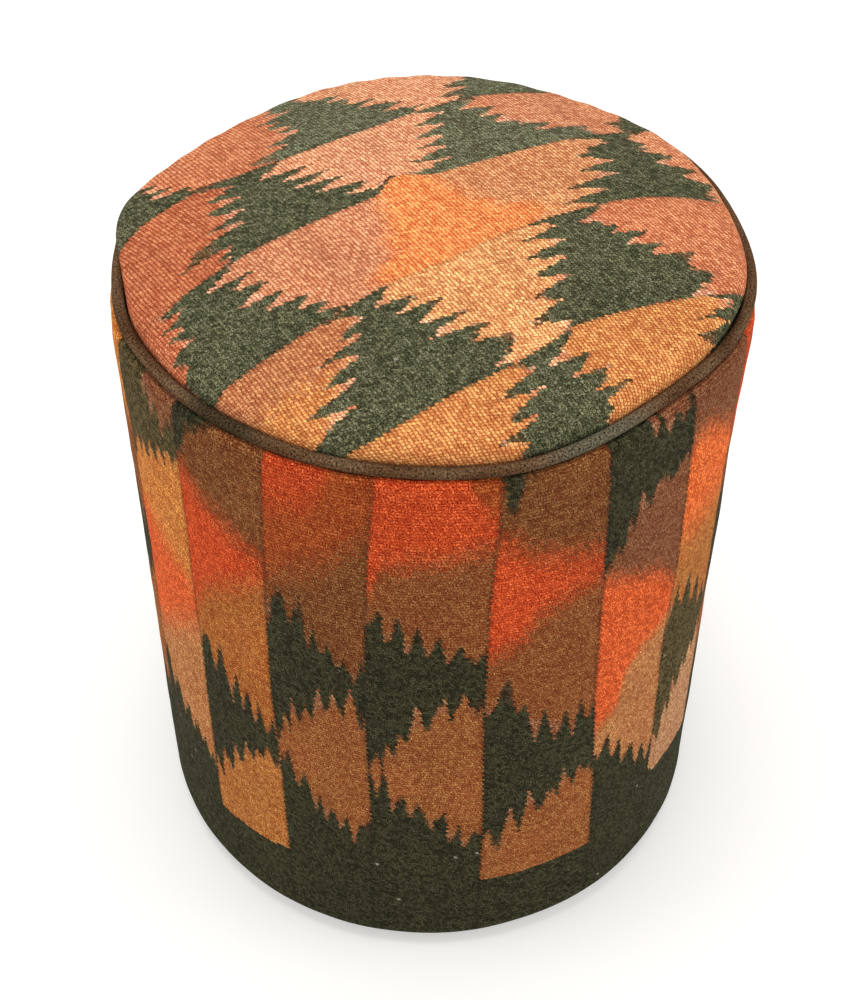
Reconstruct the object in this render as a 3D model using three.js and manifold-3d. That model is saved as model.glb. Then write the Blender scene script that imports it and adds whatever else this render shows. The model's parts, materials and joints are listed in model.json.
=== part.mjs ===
// A kursi: a drum-shaped stool covered in flat-woven wool, on a hidden frame of boards and battens.
// Millimetres, +Z up, origin on the floor at the middle of the drum.
import * as THREE from "three";
import { mergeVertices } from "three/addons/utils/BufferGeometryUtils.js";
import Module from "manifold-3d";

const wasm = await Module();
wasm.setup();

// Driving dimensions
const stoolHeight = 485; // floor to the top of the crown
const coverRadius = 190; // outside of the drum
const coverThickness = 2; // flat-woven wool
const fitGap = 0.3; // between pieces that touch
const cutOverrun = 2; // how far a cutter runs past the face that it opens
const weldDistance = 0.001; // vertices nearer than this are one

// Seat
const crownRise = 20; // middle of the seat above its shoulder
const crownPower = 2.6; // how flat the middle of the crown is
const shoulderRadius = 11; // where the top cover turns down inside the piping
const shoulderRise = 15; // shoulder above the middle of the piping
const seatEdgeDrop = 21; // middle of the piping above the seat board
const seatBoardThickness = 15;
const seamAllowance = 18; // below the middle of the piping

// Piping
const pipingDiameter = 7;
const pipingFabric = 0.8;

// Drum wall
const sideFoamThickness = 10;
const skinThickness = 3; // bent hardboard
const skinJoint = 1; // open butt joint at the back
const cornerRadius = 14; // outside of the cover's bottom corner
const foldRadius = 4.6; // outside of the cover's top edge, folded in under the piping

// Base
const baseBoardThickness = 12;
const hemWidth = 40; // cover's outside to the hem's cut edge
const dustCoverThickness = 0.8;
const dustCoverLap = 10; // dust cover over the hem's cut edge

// Frame
const uprightCount = 6;
const uprightDepth = 28; // along the drum's radius
const uprightWidth = 45;
const uprightChamfer = 3;
const uprightFromSkin = 14.4; // battens stand clear of the drum's skin
const hoopWidth = 24;
const hoopThickness = 15;
const hoopHeightShare = 0.46; // of the stool's height

// Fasteners
const screwRadius = 2;
const screwHeadRadius = 4;
const screwHeadDepth = 3;
const screwTip = 5;
const boardScrewLength = 50;
const hoopScrewLength = 39;
const stapleCount = 12;
const stapleCrown = 10;
const stapleLeg = 8;
const stapleWire = 0.9; // up the leg's thickness
const stapleWireWidth = 1.2;

// Glides
const glideCount = 4;
const glideHeight = 4;
const glideRadius = 11;
const glideChamfer = 2;
const glideFromHem = 20; // middle of a glide inside the hem's cut edge
const glideRecess = 1.6; // nail head's recess
const nailRadius = 1.5;
const nailHeadRadius = 4;
const nailHeadThickness = 1;
const nailTip = 1.7;
const nailCover = 0.5; // board left over the nail's point

// Counts of flats
const ringSegments = 40;
const screwSegments = 8;
const glideSegments = 12;
const crownSteps = 7;
const cornerSteps = 4;
const shoulderSteps = 3;
const foldSteps = 4;
const pipingSteps = 9;
const cordSteps = 8;

// Heights, from the floor up
const dustCoverBottom = glideHeight + fitGap;
const dustCoverTop = dustCoverBottom + dustCoverThickness;
const hemBottom = dustCoverTop + fitGap;
const hemTop = hemBottom + coverThickness;
const baseBoardBottom = hemTop + fitGap;
const baseBoardTop = baseBoardBottom + baseBoardThickness;
const pipingHeight = stoolHeight - crownRise - shoulderRise;
const seatBoardTop = pipingHeight - seatEdgeDrop;
const seatBoardBottom = seatBoardTop - seatBoardThickness;
const uprightBottom = baseBoardTop + fitGap;
const uprightTop = seatBoardBottom - fitGap;
const hoopBottom = stoolHeight * hoopHeightShare;
const seamEnd = pipingHeight - seamAllowance;

// Radii, from the outside in
const coverInner = coverRadius - coverThickness;
const sideFoamOuter = coverInner - fitGap;
const sideFoamInner = sideFoamOuter - sideFoamThickness;
const skinOuter = sideFoamInner - fitGap;
const skinInner = skinOuter - skinThickness;
const boardRadius = skinInner - fitGap;
const hemInner = coverRadius - hemWidth;
const dustCoverRadius = hemInner + dustCoverLap;
const stapleCircle = (hemInner + dustCoverRadius) / 2;
const glideCircle = hemInner - glideFromHem;

// Radii of the seam under the piping, from the outside in
const foldCentre = coverRadius - foldRadius;
const sideTurnInner = foldCentre - foldRadius;
const sideTurnOuter = sideTurnInner + coverThickness;
const outerTailOuter = sideTurnInner - fitGap;
const outerTailInner = outerTailOuter - pipingFabric;
const innerTailOuter = outerTailInner - fitGap;
const innerTailInner = innerTailOuter - pipingFabric;
const pipingRadius = innerTailInner + pipingDiameter / 2;
const topTurnOuter = innerTailInner - fitGap;

// The fold's middle lies where its outside just clears the piping
const pipingReach = pipingDiameter / 2 + fitGap + foldRadius;
const foldHeight = pipingHeight - Math.sqrt(pipingReach ** 2 - (foldCentre - pipingRadius) ** 2);

// Upright and hoop places
const uprightOuterFace = boardRadius - uprightFromSkin;
const uprightInnerFace = uprightOuterFace - uprightDepth;
const uprightCentre = (uprightOuterFace + uprightInnerFace) / 2;
const hoopInner = boardRadius - hoopWidth;

const fullTurn = 2 * Math.PI;
const quarterTurn = Math.PI / 2;

// Solids and geometries

function toSolid(geometry) {
  const bare = new THREE.BufferGeometry();
  bare.setAttribute("position", geometry.getAttribute("position"));
  bare.setIndex(geometry.index);
  const merged = mergeVertices(bare, weldDistance);
  const triVerts = [];
  for (let i = 0; i < merged.index.count; i += 3) {
    const corners = [0, 1, 2].map((k) => merged.index.getX(i + k));
    if (new Set(corners).size === 3) triVerts.push(...corners);
  }
  return new wasm.Manifold(
    new wasm.Mesh({
      numProp: 3,
      vertProperties: merged.attributes.position.array,
      triVerts: new Uint32Array(triVerts),
    }),
  );
}

function toGeometry(solid) {
  const made = solid.getMesh();
  const geometry = new THREE.BufferGeometry();
  geometry.setAttribute("position", new THREE.BufferAttribute(made.vertProperties, 3));
  geometry.setIndex(new THREE.BufferAttribute(made.triVerts, 1));
  geometry.computeVertexNormals();
  return geometry;
}

// A round piece from its [radius, height] outline, which runs anticlockwise with the axis on its left.
function turned(outline, segments = ringSegments) {
  const points = outline.map(([radius, height]) => new THREE.Vector2(radius, height));
  return new THREE.LatheGeometry(points, segments).rotateX(quarterTurn);
}

function turnedRing(outline, segments = ringSegments) {
  return turned([...outline, outline[0]], segments);
}

function disc(radius, bottom, top) {
  return turned([
    [0, bottom],
    [radius, bottom],
    [radius, top],
    [0, top],
  ]);
}

// Points of an arc about [x, y], ends included.
function arc(x, y, radius, from, to, steps) {
  return Array.from({ length: steps + 1 }, (_, i) => {
    const angle = from + ((to - from) * i) / steps;
    return [x + radius * Math.cos(angle), y + radius * Math.sin(angle)];
  });
}

function box(width, depth, height) {
  return new THREE.BoxGeometry(width, depth, height);
}

// The matrices of count copies round the drum, the first at the start angle.
function roundTheDrum(count, start) {
  return Array.from({ length: count }, (_, i) =>
    new THREE.Matrix4().makeRotationZ(start + (fullTurn * i) / count),
  );
}

function cutAtEach(solid, cutter, places) {
  return places.reduce((left, place) => {
    return left.subtract(toSolid(cutter.clone().applyMatrix4(place)));
  }, solid);
}

const uprightPlaces = roundTheDrum(uprightCount, fullTurn / uprightCount / 2);
const staplePlaces = roundTheDrum(stapleCount, fullTurn / stapleCount / 2);
const glidePlaces = roundTheDrum(glideCount, fullTurn / glideCount / 2);

// Materials

function material(color, roughness, metalness = 0) {
  return () => new THREE.MeshStandardMaterial({ color, roughness, metalness });
}

const kilimTop = material(0xa86a48, 0.95);
const kilimSide = material(0x6b4a32, 0.95);
const pipingCloth = material(0x4b4236, 0.9);
const cottonCord = material(0xd8cdb4, 0.95);
const foam = material(0xe6d9a8, 0.9);
const hardboard = material(0x7a573a, 0.7);
const plywood = material(0xc9a877, 0.65);
const pine = material(0xd3b07a, 0.7);
const zincSteel = material(0xb9bcc0, 0.35, 1);
const blackCloth = material(0x1d1d1f, 0.95);
const nylon = material(0x2b2a28, 0.45);

const stool = new THREE.Group();

function add(name, geometry, finish, place) {
  const mesh = new THREE.Mesh(geometry, finish());
  mesh.name = name;
  if (place) mesh.applyMatrix4(place);
  stool.add(mesh);
}

function addAtEach(name, geometry, finish, places) {
  places.forEach((place, i) => add(`${name}_${i + 1}`, geometry, finish, place));
}

// Screws: the outline of a countersunk screw with its head's face at height 0 and its point up

function screwOutline(length, clearance) {
  const shank = screwRadius + clearance;
  const head = screwHeadRadius + clearance;
  return [
    [0, 0],
    [head, 0],
    [shank, screwHeadDepth],
    [shank, length - screwTip],
    [0, length + clearance],
  ];
}

function screw(length) {
  return turned(screwOutline(length, 0), screwSegments);
}

// The hole for it, open past the face that the head lies in.
function screwHole(length) {
  const outline = screwOutline(length, fitGap);
  const mouth = [outline[1][0], -cutOverrun];
  return turned([[0, -cutOverrun], mouth, ...outline.slice(1)], screwSegments);
}

function seatScrewAt(geometry) {
  const head = seatBoardTop - fitGap;
  return geometry.rotateX(Math.PI).translate(uprightCentre, 0, head);
}

function baseScrewAt(geometry) {
  return geometry.translate(uprightCentre, 0, baseBoardBottom + fitGap);
}

function hoopScrewAt(geometry) {
  const head = uprightInnerFace + fitGap;
  return geometry.rotateY(quarterTurn).translate(head, 0, hoopBottom + hoopThickness / 2);
}

const seatScrewHole = seatScrewAt(screwHole(boardScrewLength));
const baseScrewHole = baseScrewAt(screwHole(boardScrewLength));
const hoopScrewHole = hoopScrewAt(screwHole(hoopScrewLength));

// Glides and their nails: the nail's head lies in the glide's recess

const nailHeadBottom = glideRecess - fitGap - nailHeadThickness;
const nailTop = baseBoardTop - nailCover;

function glideGeometry() {
  const bore = nailRadius + fitGap;
  const recess = nailHeadRadius + fitGap;
  const outline = [
    [bore, glideHeight],
    [bore, glideRecess],
    [recess, glideRecess],
    [recess, 0],
    [glideRadius - glideChamfer, 0],
    [glideRadius, glideChamfer],
    [glideRadius, glideHeight],
  ];
  return turnedRing(outline, glideSegments).translate(glideCircle, 0, 0);
}

function nailGeometry() {
  const headTop = nailHeadBottom + nailHeadThickness;
  const outline = [
    [0, nailHeadBottom],
    [nailHeadRadius, nailHeadBottom],
    [nailHeadRadius, headTop],
    [nailRadius, headTop],
    [nailRadius, nailTop - nailTip],
    [0, nailTop],
  ];
  return turned(outline, glideSegments).translate(glideCircle, 0, 0);
}

function nailHole() {
  const radius = nailRadius + fitGap;
  const outline = [
    [0, 0],
    [radius, 0],
    [radius, nailTop - nailTip],
    [0, nailTop + fitGap],
  ];
  return turned(outline, glideSegments).translate(glideCircle, 0, 0);
}

// Staples: the crown lies under the dust cover, and the legs go up through the hem into the base board

const stapleTop = dustCoverBottom - fitGap;
const stapleBottom = stapleTop - stapleWire;
const legTop = stapleTop + stapleLeg;

function stapleGeometry() {
  const half = stapleCrown / 2;
  const inside = half - stapleWire;
  const shape = new THREE.Shape([
    new THREE.Vector2(-half, stapleBottom),
    new THREE.Vector2(half, stapleBottom),
    new THREE.Vector2(half, legTop),
    new THREE.Vector2(inside, legTop),
    new THREE.Vector2(inside, stapleTop),
    new THREE.Vector2(-inside, stapleTop),
    new THREE.Vector2(-inside, legTop),
    new THREE.Vector2(-half, legTop),
  ]);
  const wire = new THREE.ExtrudeGeometry(shape, { depth: stapleWireWidth, bevelEnabled: false });
  wire.translate(0, 0, -stapleWireWidth / 2).rotateX(quarterTurn).rotateZ(quarterTurn);
  return wire.translate(stapleCircle, 0, 0);
}

// The hole of one leg, on the given side of the staple.
function stapleHole(side) {
  const height = legTop + fitGap - stapleBottom;
  const hole = box(stapleWireWidth + 2 * fitGap, stapleWire + 2 * fitGap, height);
  const legMiddle = side * (stapleCrown / 2 - stapleWire / 2);
  return hole.translate(stapleCircle, legMiddle, stapleBottom + height / 2);
}

function cutStapleHoles(solid) {
  return [-1, 1].reduce((left, side) => cutAtEach(left, stapleHole(side), staplePlaces), solid);
}

// Base: board, dust cover and glides

function baseBoardGeometry() {
  let board = toSolid(disc(boardRadius, baseBoardBottom, baseBoardTop));
  board = cutAtEach(board, baseScrewHole, uprightPlaces);
  board = cutAtEach(board, nailHole(), glidePlaces);
  return toGeometry(cutStapleHoles(board));
}

function dustCoverGeometry() {
  const cloth = toSolid(disc(dustCoverRadius, dustCoverBottom, dustCoverTop));
  return toGeometry(cutStapleHoles(cutAtEach(cloth, nailHole(), glidePlaces)));
}

add("base_board", baseBoardGeometry(), plywood);
add("dust_cover", dustCoverGeometry(), blackCloth);
addAtEach("glide", glideGeometry(), nylon, glidePlaces);
addAtEach("glide_nail", nailGeometry(), zincSteel, glidePlaces);
addAtEach("hem_staple", stapleGeometry(), zincSteel, staplePlaces);

// Frame: uprights let into a middle hoop, screwed to both boards

function uprightBlank(clearance) {
  const x = uprightDepth / 2 + clearance;
  const y = uprightWidth / 2 + clearance;
  const cut = uprightChamfer;
  const shape = new THREE.Shape(
    [
      [x - cut, -y],
      [x, cut - y],
      [x, y - cut],
      [x - cut, y],
      [cut - x, y],
      [-x, y - cut],
      [-x, cut - y],
      [cut - x, -y],
    ].map(([a, b]) => new THREE.Vector2(a, b)),
  );
  const height = uprightTop - uprightBottom;
  const batten = new THREE.ExtrudeGeometry(shape, { depth: height, bevelEnabled: false });
  return batten.translate(uprightCentre, 0, uprightBottom);
}

function uprightGeometry() {
  const holes = [seatScrewHole, baseScrewHole, hoopScrewHole];
  return toGeometry(
    holes.reduce((left, hole) => left.subtract(toSolid(hole)), toSolid(uprightBlank(0))),
  );
}

function hoopGeometry() {
  const hoop = toSolid(
    turnedRing([
      [hoopInner, hoopBottom],
      [boardRadius, hoopBottom],
      [boardRadius, hoopBottom + hoopThickness],
      [hoopInner, hoopBottom + hoopThickness],
    ]),
  );
  const notched = cutAtEach(hoop, uprightBlank(fitGap), uprightPlaces);
  return toGeometry(cutAtEach(notched, hoopScrewHole, uprightPlaces));
}

function seatBoardGeometry() {
  const board = toSolid(disc(boardRadius, seatBoardBottom, seatBoardTop));
  return toGeometry(cutAtEach(board, seatScrewHole, uprightPlaces));
}

addAtEach("upright", uprightGeometry(), pine, uprightPlaces);
add("middle_hoop", hoopGeometry(), plywood);
add("seat_board", seatBoardGeometry(), plywood);
addAtEach("seat_screw", seatScrewAt(screw(boardScrewLength)), zincSteel, uprightPlaces);
addAtEach("base_screw", baseScrewAt(screw(boardScrewLength)), zincSteel, uprightPlaces);
addAtEach("hoop_screw", hoopScrewAt(screw(hoopScrewLength)), zincSteel, uprightPlaces);

// Drum wall: a bent hardboard skin with its butt joint at the back, and foam round it

function drumSkinGeometry() {
  const skin = toSolid(
    turnedRing([
      [skinInner, baseBoardBottom],
      [skinOuter, baseBoardBottom],
      [skinOuter, seatBoardTop],
      [skinInner, seatBoardTop],
    ]),
  );
  const joint = box(skinJoint, skinThickness + 2 * cutOverrun, 2 * stoolHeight);
  joint.translate(0, (skinInner + skinOuter) / 2, 0);
  return toGeometry(skin.subtract(toSolid(joint)));
}

const cornerCentre = coverRadius - cornerRadius;
const cornerHeight = hemBottom + cornerRadius;

// Its round top fills the fold of the side cover.
function sideFoamGeometry() {
  const radius = sideFoamOuter - cornerCentre;
  const start = -Math.acos((sideFoamInner - cornerCentre) / radius);
  const topRadius = sideFoamOuter - foldCentre;
  return turnedRing([
    ...arc(cornerCentre, cornerHeight, radius, start, 0, cornerSteps),
    ...arc(foldCentre, foldHeight, topRadius, 0, Math.PI, foldSteps),
    [foldCentre - topRadius, seatBoardTop],
    [sideFoamInner, seatBoardTop],
  ]);
}

add("drum_skin", drumSkinGeometry(), hardboard);
add("side_foam", sideFoamGeometry(), foam);

// Seat: a crowned foam pad and the top cover, which turns down inside the piping

// Outline from the bottom of the turned-down edge over the shoulder to the axis, inset from the outside.
function crownOutline(inset, bottom) {
  const centre = topTurnOuter - shoulderRadius;
  const height = pipingHeight + shoulderRise - shoulderRadius;
  const slope = (crownPower * crownRise) / centre;
  const shoulder = arc(centre, height, shoulderRadius - inset, 0, Math.atan2(1, slope), shoulderSteps);
  const [edge, edgeHeight] = shoulder[shoulderSteps];
  const rise = stoolHeight - inset - edgeHeight;
  const crown = Array.from({ length: crownSteps }, (_, i) => {
    const share = 1 - (i + 1) / crownSteps;
    return [edge * share, edgeHeight + rise * (1 - share ** crownPower)];
  });
  return [[topTurnOuter - inset, bottom], ...shoulder, ...crown];
}

function seatFoamGeometry() {
  const bottom = seatBoardTop + fitGap;
  return turned([[0, bottom], ...crownOutline(coverThickness + fitGap, bottom)]);
}

function topCoverGeometry() {
  const outside = crownOutline(0, seamEnd);
  const inside = crownOutline(coverThickness, seamEnd).reverse();
  const outline = [...outside, ...inside];
  return turned([...outline, outline[0]]);
}

add("seat_foam", seatFoamGeometry(), foam);
add("top_cover", topCoverGeometry(), kilimTop);

// Piping: a cord in a folded strip, whose two tails lie in the seam

function pipingCoverGeometry() {
  const outer = pipingDiameter / 2;
  const inner = outer - pipingFabric;
  const outerEnd = -Math.PI + Math.acos((pipingRadius - outerTailOuter) / outer);
  const innerEnd = -Math.PI + Math.acos((pipingRadius - outerTailInner) / inner);
  return turnedRing([
    [outerTailInner, seamEnd],
    [outerTailOuter, seamEnd],
    ...arc(pipingRadius, pipingHeight, outer, outerEnd, Math.PI, pipingSteps),
    [innerTailInner, seamEnd],
    [innerTailOuter, seamEnd],
    ...arc(pipingRadius, pipingHeight, inner, Math.PI, innerEnd, pipingSteps),
  ]);
}

function pipingCordGeometry() {
  const radius = pipingDiameter / 2 - pipingFabric - fitGap;
  const section = arc(pipingRadius, pipingHeight, radius, 0, fullTurn, cordSteps);
  return turned(section);
}

add("piping_cord", pipingCordGeometry(), cottonCord);
add("piping_cover", pipingCoverGeometry(), pipingCloth);

// Side cover: hem under the base, rounded corner, drum face, and the top edge folded in below the piping

function sideCoverGeometry() {
  const cover = turnedRing([
    [hemInner, hemBottom],
    ...arc(cornerCentre, cornerHeight, cornerRadius, -quarterTurn, 0, cornerSteps),
    ...arc(foldCentre, foldHeight, foldRadius, 0, Math.PI, foldSteps),
    [sideTurnInner, seamEnd],
    [sideTurnOuter, seamEnd],
    ...arc(foldCentre, foldHeight, foldRadius - coverThickness, Math.PI, 0, foldSteps),
    ...arc(cornerCentre, cornerHeight, cornerRadius - coverThickness, 0, -quarterTurn, cornerSteps),
    [hemInner, hemTop],
  ]);
  return toGeometry(cutStapleHoles(cutAtEach(toSolid(cover), nailHole(), glidePlaces)));
}

add("side_cover", sideCoverGeometry(), kilimSide);

export default stool;
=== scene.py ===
"""The looks of a drum-shaped kursi covered in flat-woven kilim wool. Metres, +Z up, the camera at -Y."""

import json
import math
import random
from types import SimpleNamespace

import bpy
from mathutils import Matrix, Vector, noise


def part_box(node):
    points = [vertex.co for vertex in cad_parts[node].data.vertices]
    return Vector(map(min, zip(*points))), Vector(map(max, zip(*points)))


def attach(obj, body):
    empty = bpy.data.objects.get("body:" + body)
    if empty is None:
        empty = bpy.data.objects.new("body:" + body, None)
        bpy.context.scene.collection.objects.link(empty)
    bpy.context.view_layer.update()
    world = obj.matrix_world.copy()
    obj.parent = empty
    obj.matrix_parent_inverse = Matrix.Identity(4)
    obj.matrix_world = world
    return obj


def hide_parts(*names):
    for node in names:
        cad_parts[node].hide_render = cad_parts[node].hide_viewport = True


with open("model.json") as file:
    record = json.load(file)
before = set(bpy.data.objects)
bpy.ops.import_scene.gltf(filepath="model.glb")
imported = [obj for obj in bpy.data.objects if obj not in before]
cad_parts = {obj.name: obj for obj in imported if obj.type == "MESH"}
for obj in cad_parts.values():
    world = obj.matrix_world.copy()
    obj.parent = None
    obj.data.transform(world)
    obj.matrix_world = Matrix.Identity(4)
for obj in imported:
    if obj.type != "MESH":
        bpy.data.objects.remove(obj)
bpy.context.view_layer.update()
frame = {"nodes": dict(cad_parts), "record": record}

MM = 0.001

# Sizes of the frame that the soft pieces follow, in millimetres
COVER_RADIUS = 190
COVER_THICKNESS = 2
STOOL_HEIGHT = 485
PIPING_HEIGHT = 450
PIPING_RADIUS = 182.1
PIPING_SECTION = 3.5
SEAM_END = 432
FOLD_RADIUS = 4.6
FOLD_HEIGHT = 442.28
CORNER_RADIUS = 14
HEM_HEIGHT = 5.4
HEM_INNER = 150
TURN_RADIUS = 178.3
SHOULDER_RADIUS = 11
SHOULDER_HEIGHT = 454
CROWN_EDGE = 170.57
CROWN_EDGE_HEIGHT = 464.5
CROWN_POWER = 2.6
WALL_GIRTH = 2 * math.pi * COVER_RADIUS

# The weave: one bead of weft is STITCH_U long and STITCH_V wide
STITCH_U = 2.3
STITCH_V = 2.0


def linear(red, green, blue):
    """A colour as it looks on a screen, 0 to 255, as Blender's linear values."""
    out = []
    for level in (red, green, blue):
        share = level / 255
        out.append(share / 12.92 if share <= 0.04045 else ((share + 0.055) / 1.055) ** 2.4)
    return tuple(out)


# Dyes, and lighter copies of the dark wool that are painted light

def dyes(**tones):
    """Each dye, or a lighter copy of one that is painted light, as it looks on a screen, made linear."""
    return {name: linear(*tone) for name, tone in tones.items()}


TOP_WOOL = dyes(
    # The second dark here is no dye of its own: it is dark wool made lighter, painted light on the darks
    # towards the seat's back
    dark=(86, 87, 63), moss=(104, 102, 77), gold=(219, 140, 82), honey=(239, 165, 108), amber=(231, 156, 106),
    orange=(253, 148, 87), salmon=(220, 142, 103), coral=(215, 130, 91), pale=(236, 161, 120),
    clay=(197, 111, 75))
SIDE_WOOL = dyes(
    # The second dark here is no dye of its own: it is dark wool made lighter and warmer, painted light on the
    # darks at the drum's two edges, where grazing light falls
    dark=(51, 50, 33), umber=(76, 66, 40), brown=(137, 77, 42), dusk=(121, 70, 38), mauve=(126, 75, 49),
    rust=(157, 71, 33), red=(196, 73, 36), brick=(181, 67, 33), vermilion=(214, 90, 45),
    orange=(225, 104, 51), ochre=(176, 105, 53), bronze=(168, 95, 46), gold=(199, 118, 58),
    salmon=(152, 88, 48), sand=(180, 114, 69), tan=(186, 130, 92))
# The dyes that turn pink where a lane does
PINK_DYES = ("gold", "amber")

# The pattern, read off in plan on the seat, in millimetres along and across the lanes. A lane names the dye
# of its low end, and then each border's dye, its softness and its points: the tips of the fingers there.

LANE_TURN = math.radians(33)
TOP_EDGES = [0, 72, 156, 228, 298, 402]
TOP_BORDERS = [
    [(-200, -200), (200, -200)],
    [(-135, -126), (-110, -128), (-60, -127), (-25, -127.5), (0, -125.5), (15, -122.5), (40, -124),
     (75, -126.5), (100, -129), (120, -133)],
    [(-172, -53), (-130, -49), (-95, -46.5), (-60, -43), (-20, -44.5), (30, -41.5), (60, -41.5),
     (100, -43.5), (120, -47), (140, -53), (155, -60), (168, -68)],
    [(-175, 19), (-150, 23), (-115, 28), (-90, 29), (-20, 27), (-4, 38), (4, 38), (20, 28), (60, 25),
     (115, 23), (150, 20), (165, 18)],
    [(-150, 89), (-130, 95), (-100, 100), (-60, 99), (-20, 96), (20, 94.5), (60, 98), (100, 98), (120, 94),
     (145, 88)],
    [(-200, 200), (200, 200)],
]
# In these lanes the lighter copy of dark is painted light towards the seat's back
TOP_LANES = [
    ("gold", [
        ("dark", 0, [
            (-30, -128), (-22, -136), (-47, -141.5), (-28, -147.5), (-53, -155), (-37, -161), (-63, -164.5),
            (-47, -170), (-55, -176)]),
        ("gold", 0, [
            (8, -126), (-9, -138), (14, -141), (-6, -151), (16, -155), (3, -164), (18, -168), (2, -174)]),
        ("dark", 0, [
            (97, -128), (103, -132), (108, -139.5), (84, -143), (103, -147), (76, -155), (90, -160)])]),
    ("gold", [
        ("dark", 0, [
            (-96, -47), (-84, -56), (-98, -62), (-91, -68), (-116, -71), (-98, -78), (-123, -84.5),
            (-108, -91), (-138, -97), (-119, -105), (-146, -112), (-165, -126)]),
        ("honey", 0, [
            (-57, -43), (-67, -55), (-46, -58), (-64, -65), (-38, -68), (-60, -78.5), (-33, -82),
            (-54, -90.5), (-25, -95), (-41, -104), (-17, -109), (-34, -124), (-28, -128)]),
        ("dark", 0, [
            (38, -41), (54, -49), (31, -52), (48, -61), (24, -67), (40, -75), (17, -81), (33, -89),
            (8, -95), (21, -104), (-5, -108), (9, -118), (8, -125)]),
        ("coral", 0, [
            (87, -44), (72, -54), (85, -61), (80, -68), (99, -72), (80, -80), (102, -86), (89, -93),
            (111, -97), (101, -106), (112, -114), (95, -128)])]),
    ("clay", [
        ("dark", 0, [
            (-150, 24), (-166, 18), (-156, 12), (-170, 6), (-163, 0), (-174, -4), (-164, -9), (-178, -14),
            (-172, -22), (-184, -30)]),
        ("salmon", 0, [
            (-116, 28), (-121, 22), (-137, 16), (-112, 13), (-126, 5.5), (-107, 1), (-125, -8), (-101, -12),
            (-118, -19), (-94, -23), (-107, -30), (-89, -34), (-99, -39), (-88, -43)]),
        ("orange", 7, [
            (-18, 30), (-22, 18), (-25, 8), (-31, -2), (-38, -12), (-38, -24), (-56, -30), (-62, -37),
            (-56, -43)]),
        ("amber", 7, [
            (18, 30), (22, 15), (25, 3), (26, -6), (36, -10), (34, -17), (52, -22), (60, -34), (40, -43)]),
        ("dark", 0, [
            (118, 24), (134, 15), (110, 4), (114, 0), (121, -6), (101, -10), (113, -19.5), (84, -22.5),
            (99, -32), (73, -33), (86, -43)]),
        ("salmon", 0, [
            (165, 22), (151, 10), (160, 3), (151, -4), (164, -12), (153, -19), (168, -29), (157, -34),
            (168, -46), (162, -54)])]),
    ("clay", [
        ("dark", 0, [
            (-92, 98), (-82, 90), (-99, 86), (-82, 78), (-106, 75), (-88, 66), (-109, 61), (-94, 54),
            (-122, 51), (-110, 43), (-137, 40), (-118, 31), (-122, 28)]),
        ("pale", 0, [
            (-43, 98), (-63, 86), (-36, 81.5), (-57, 75), (-31, 69), (-50, 63), (-24, 58), (-45, 52.5),
            (-14, 46), (-33, 40), (-2, 37), (-18, 28)]),
        ("moss", 0, [
            (52, 98), (64, 87), (41, 81.5), (56, 74), (31, 69), (50, 63), (28, 57), (43, 52), (15, 47),
            (34, 40), (7, 37), (20, 28)]),
        ("salmon", 0, [
            (92, 98), (80, 84), (102, 80), (84, 73), (102, 67), (88, 63), (104, 56), (99, 52), (119, 47),
            (109, 41), (133, 36), (130, 30), (136, 24)]),
        ("dark", 0, [(190, 60), (176, 42), (152, 32), (158, 25)])]),
    ("dark", [
        ("coral", 0, [
            (-112, 145), (-120, 135), (-108, 127), (-117, 121), (-103, 119), (-113, 113), (-95, 108),
            (-100, 104), (-82, 101)]),
        ("moss", 0, [
            (-20, 165), (-13, 156), (-33, 150), (-20, 145), (-36, 140), (-18, 135), (-30, 130), (-19, 123),
            (-42, 118), (-32, 111), (-61, 106), (-46, 100)]),
        ("pale", 0, [
            (8, 168), (14, 156), (30, 151), (18, 145), (30, 141), (23, 134), (41, 130), (27, 123),
            (53, 118), (40, 110), (58, 104), (48, 97)]),
        ("moss", 0, [(128, 145), (113, 131), (87, 120), (104, 114), (76, 110), (91, 102), (80, 98)])]),
]

# On the drum the lanes stand up. Their edges are (height, distance round from the front) and their points are
# (distance round, height). What the photo doesn't show of the drum carries on in the same way.

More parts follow.
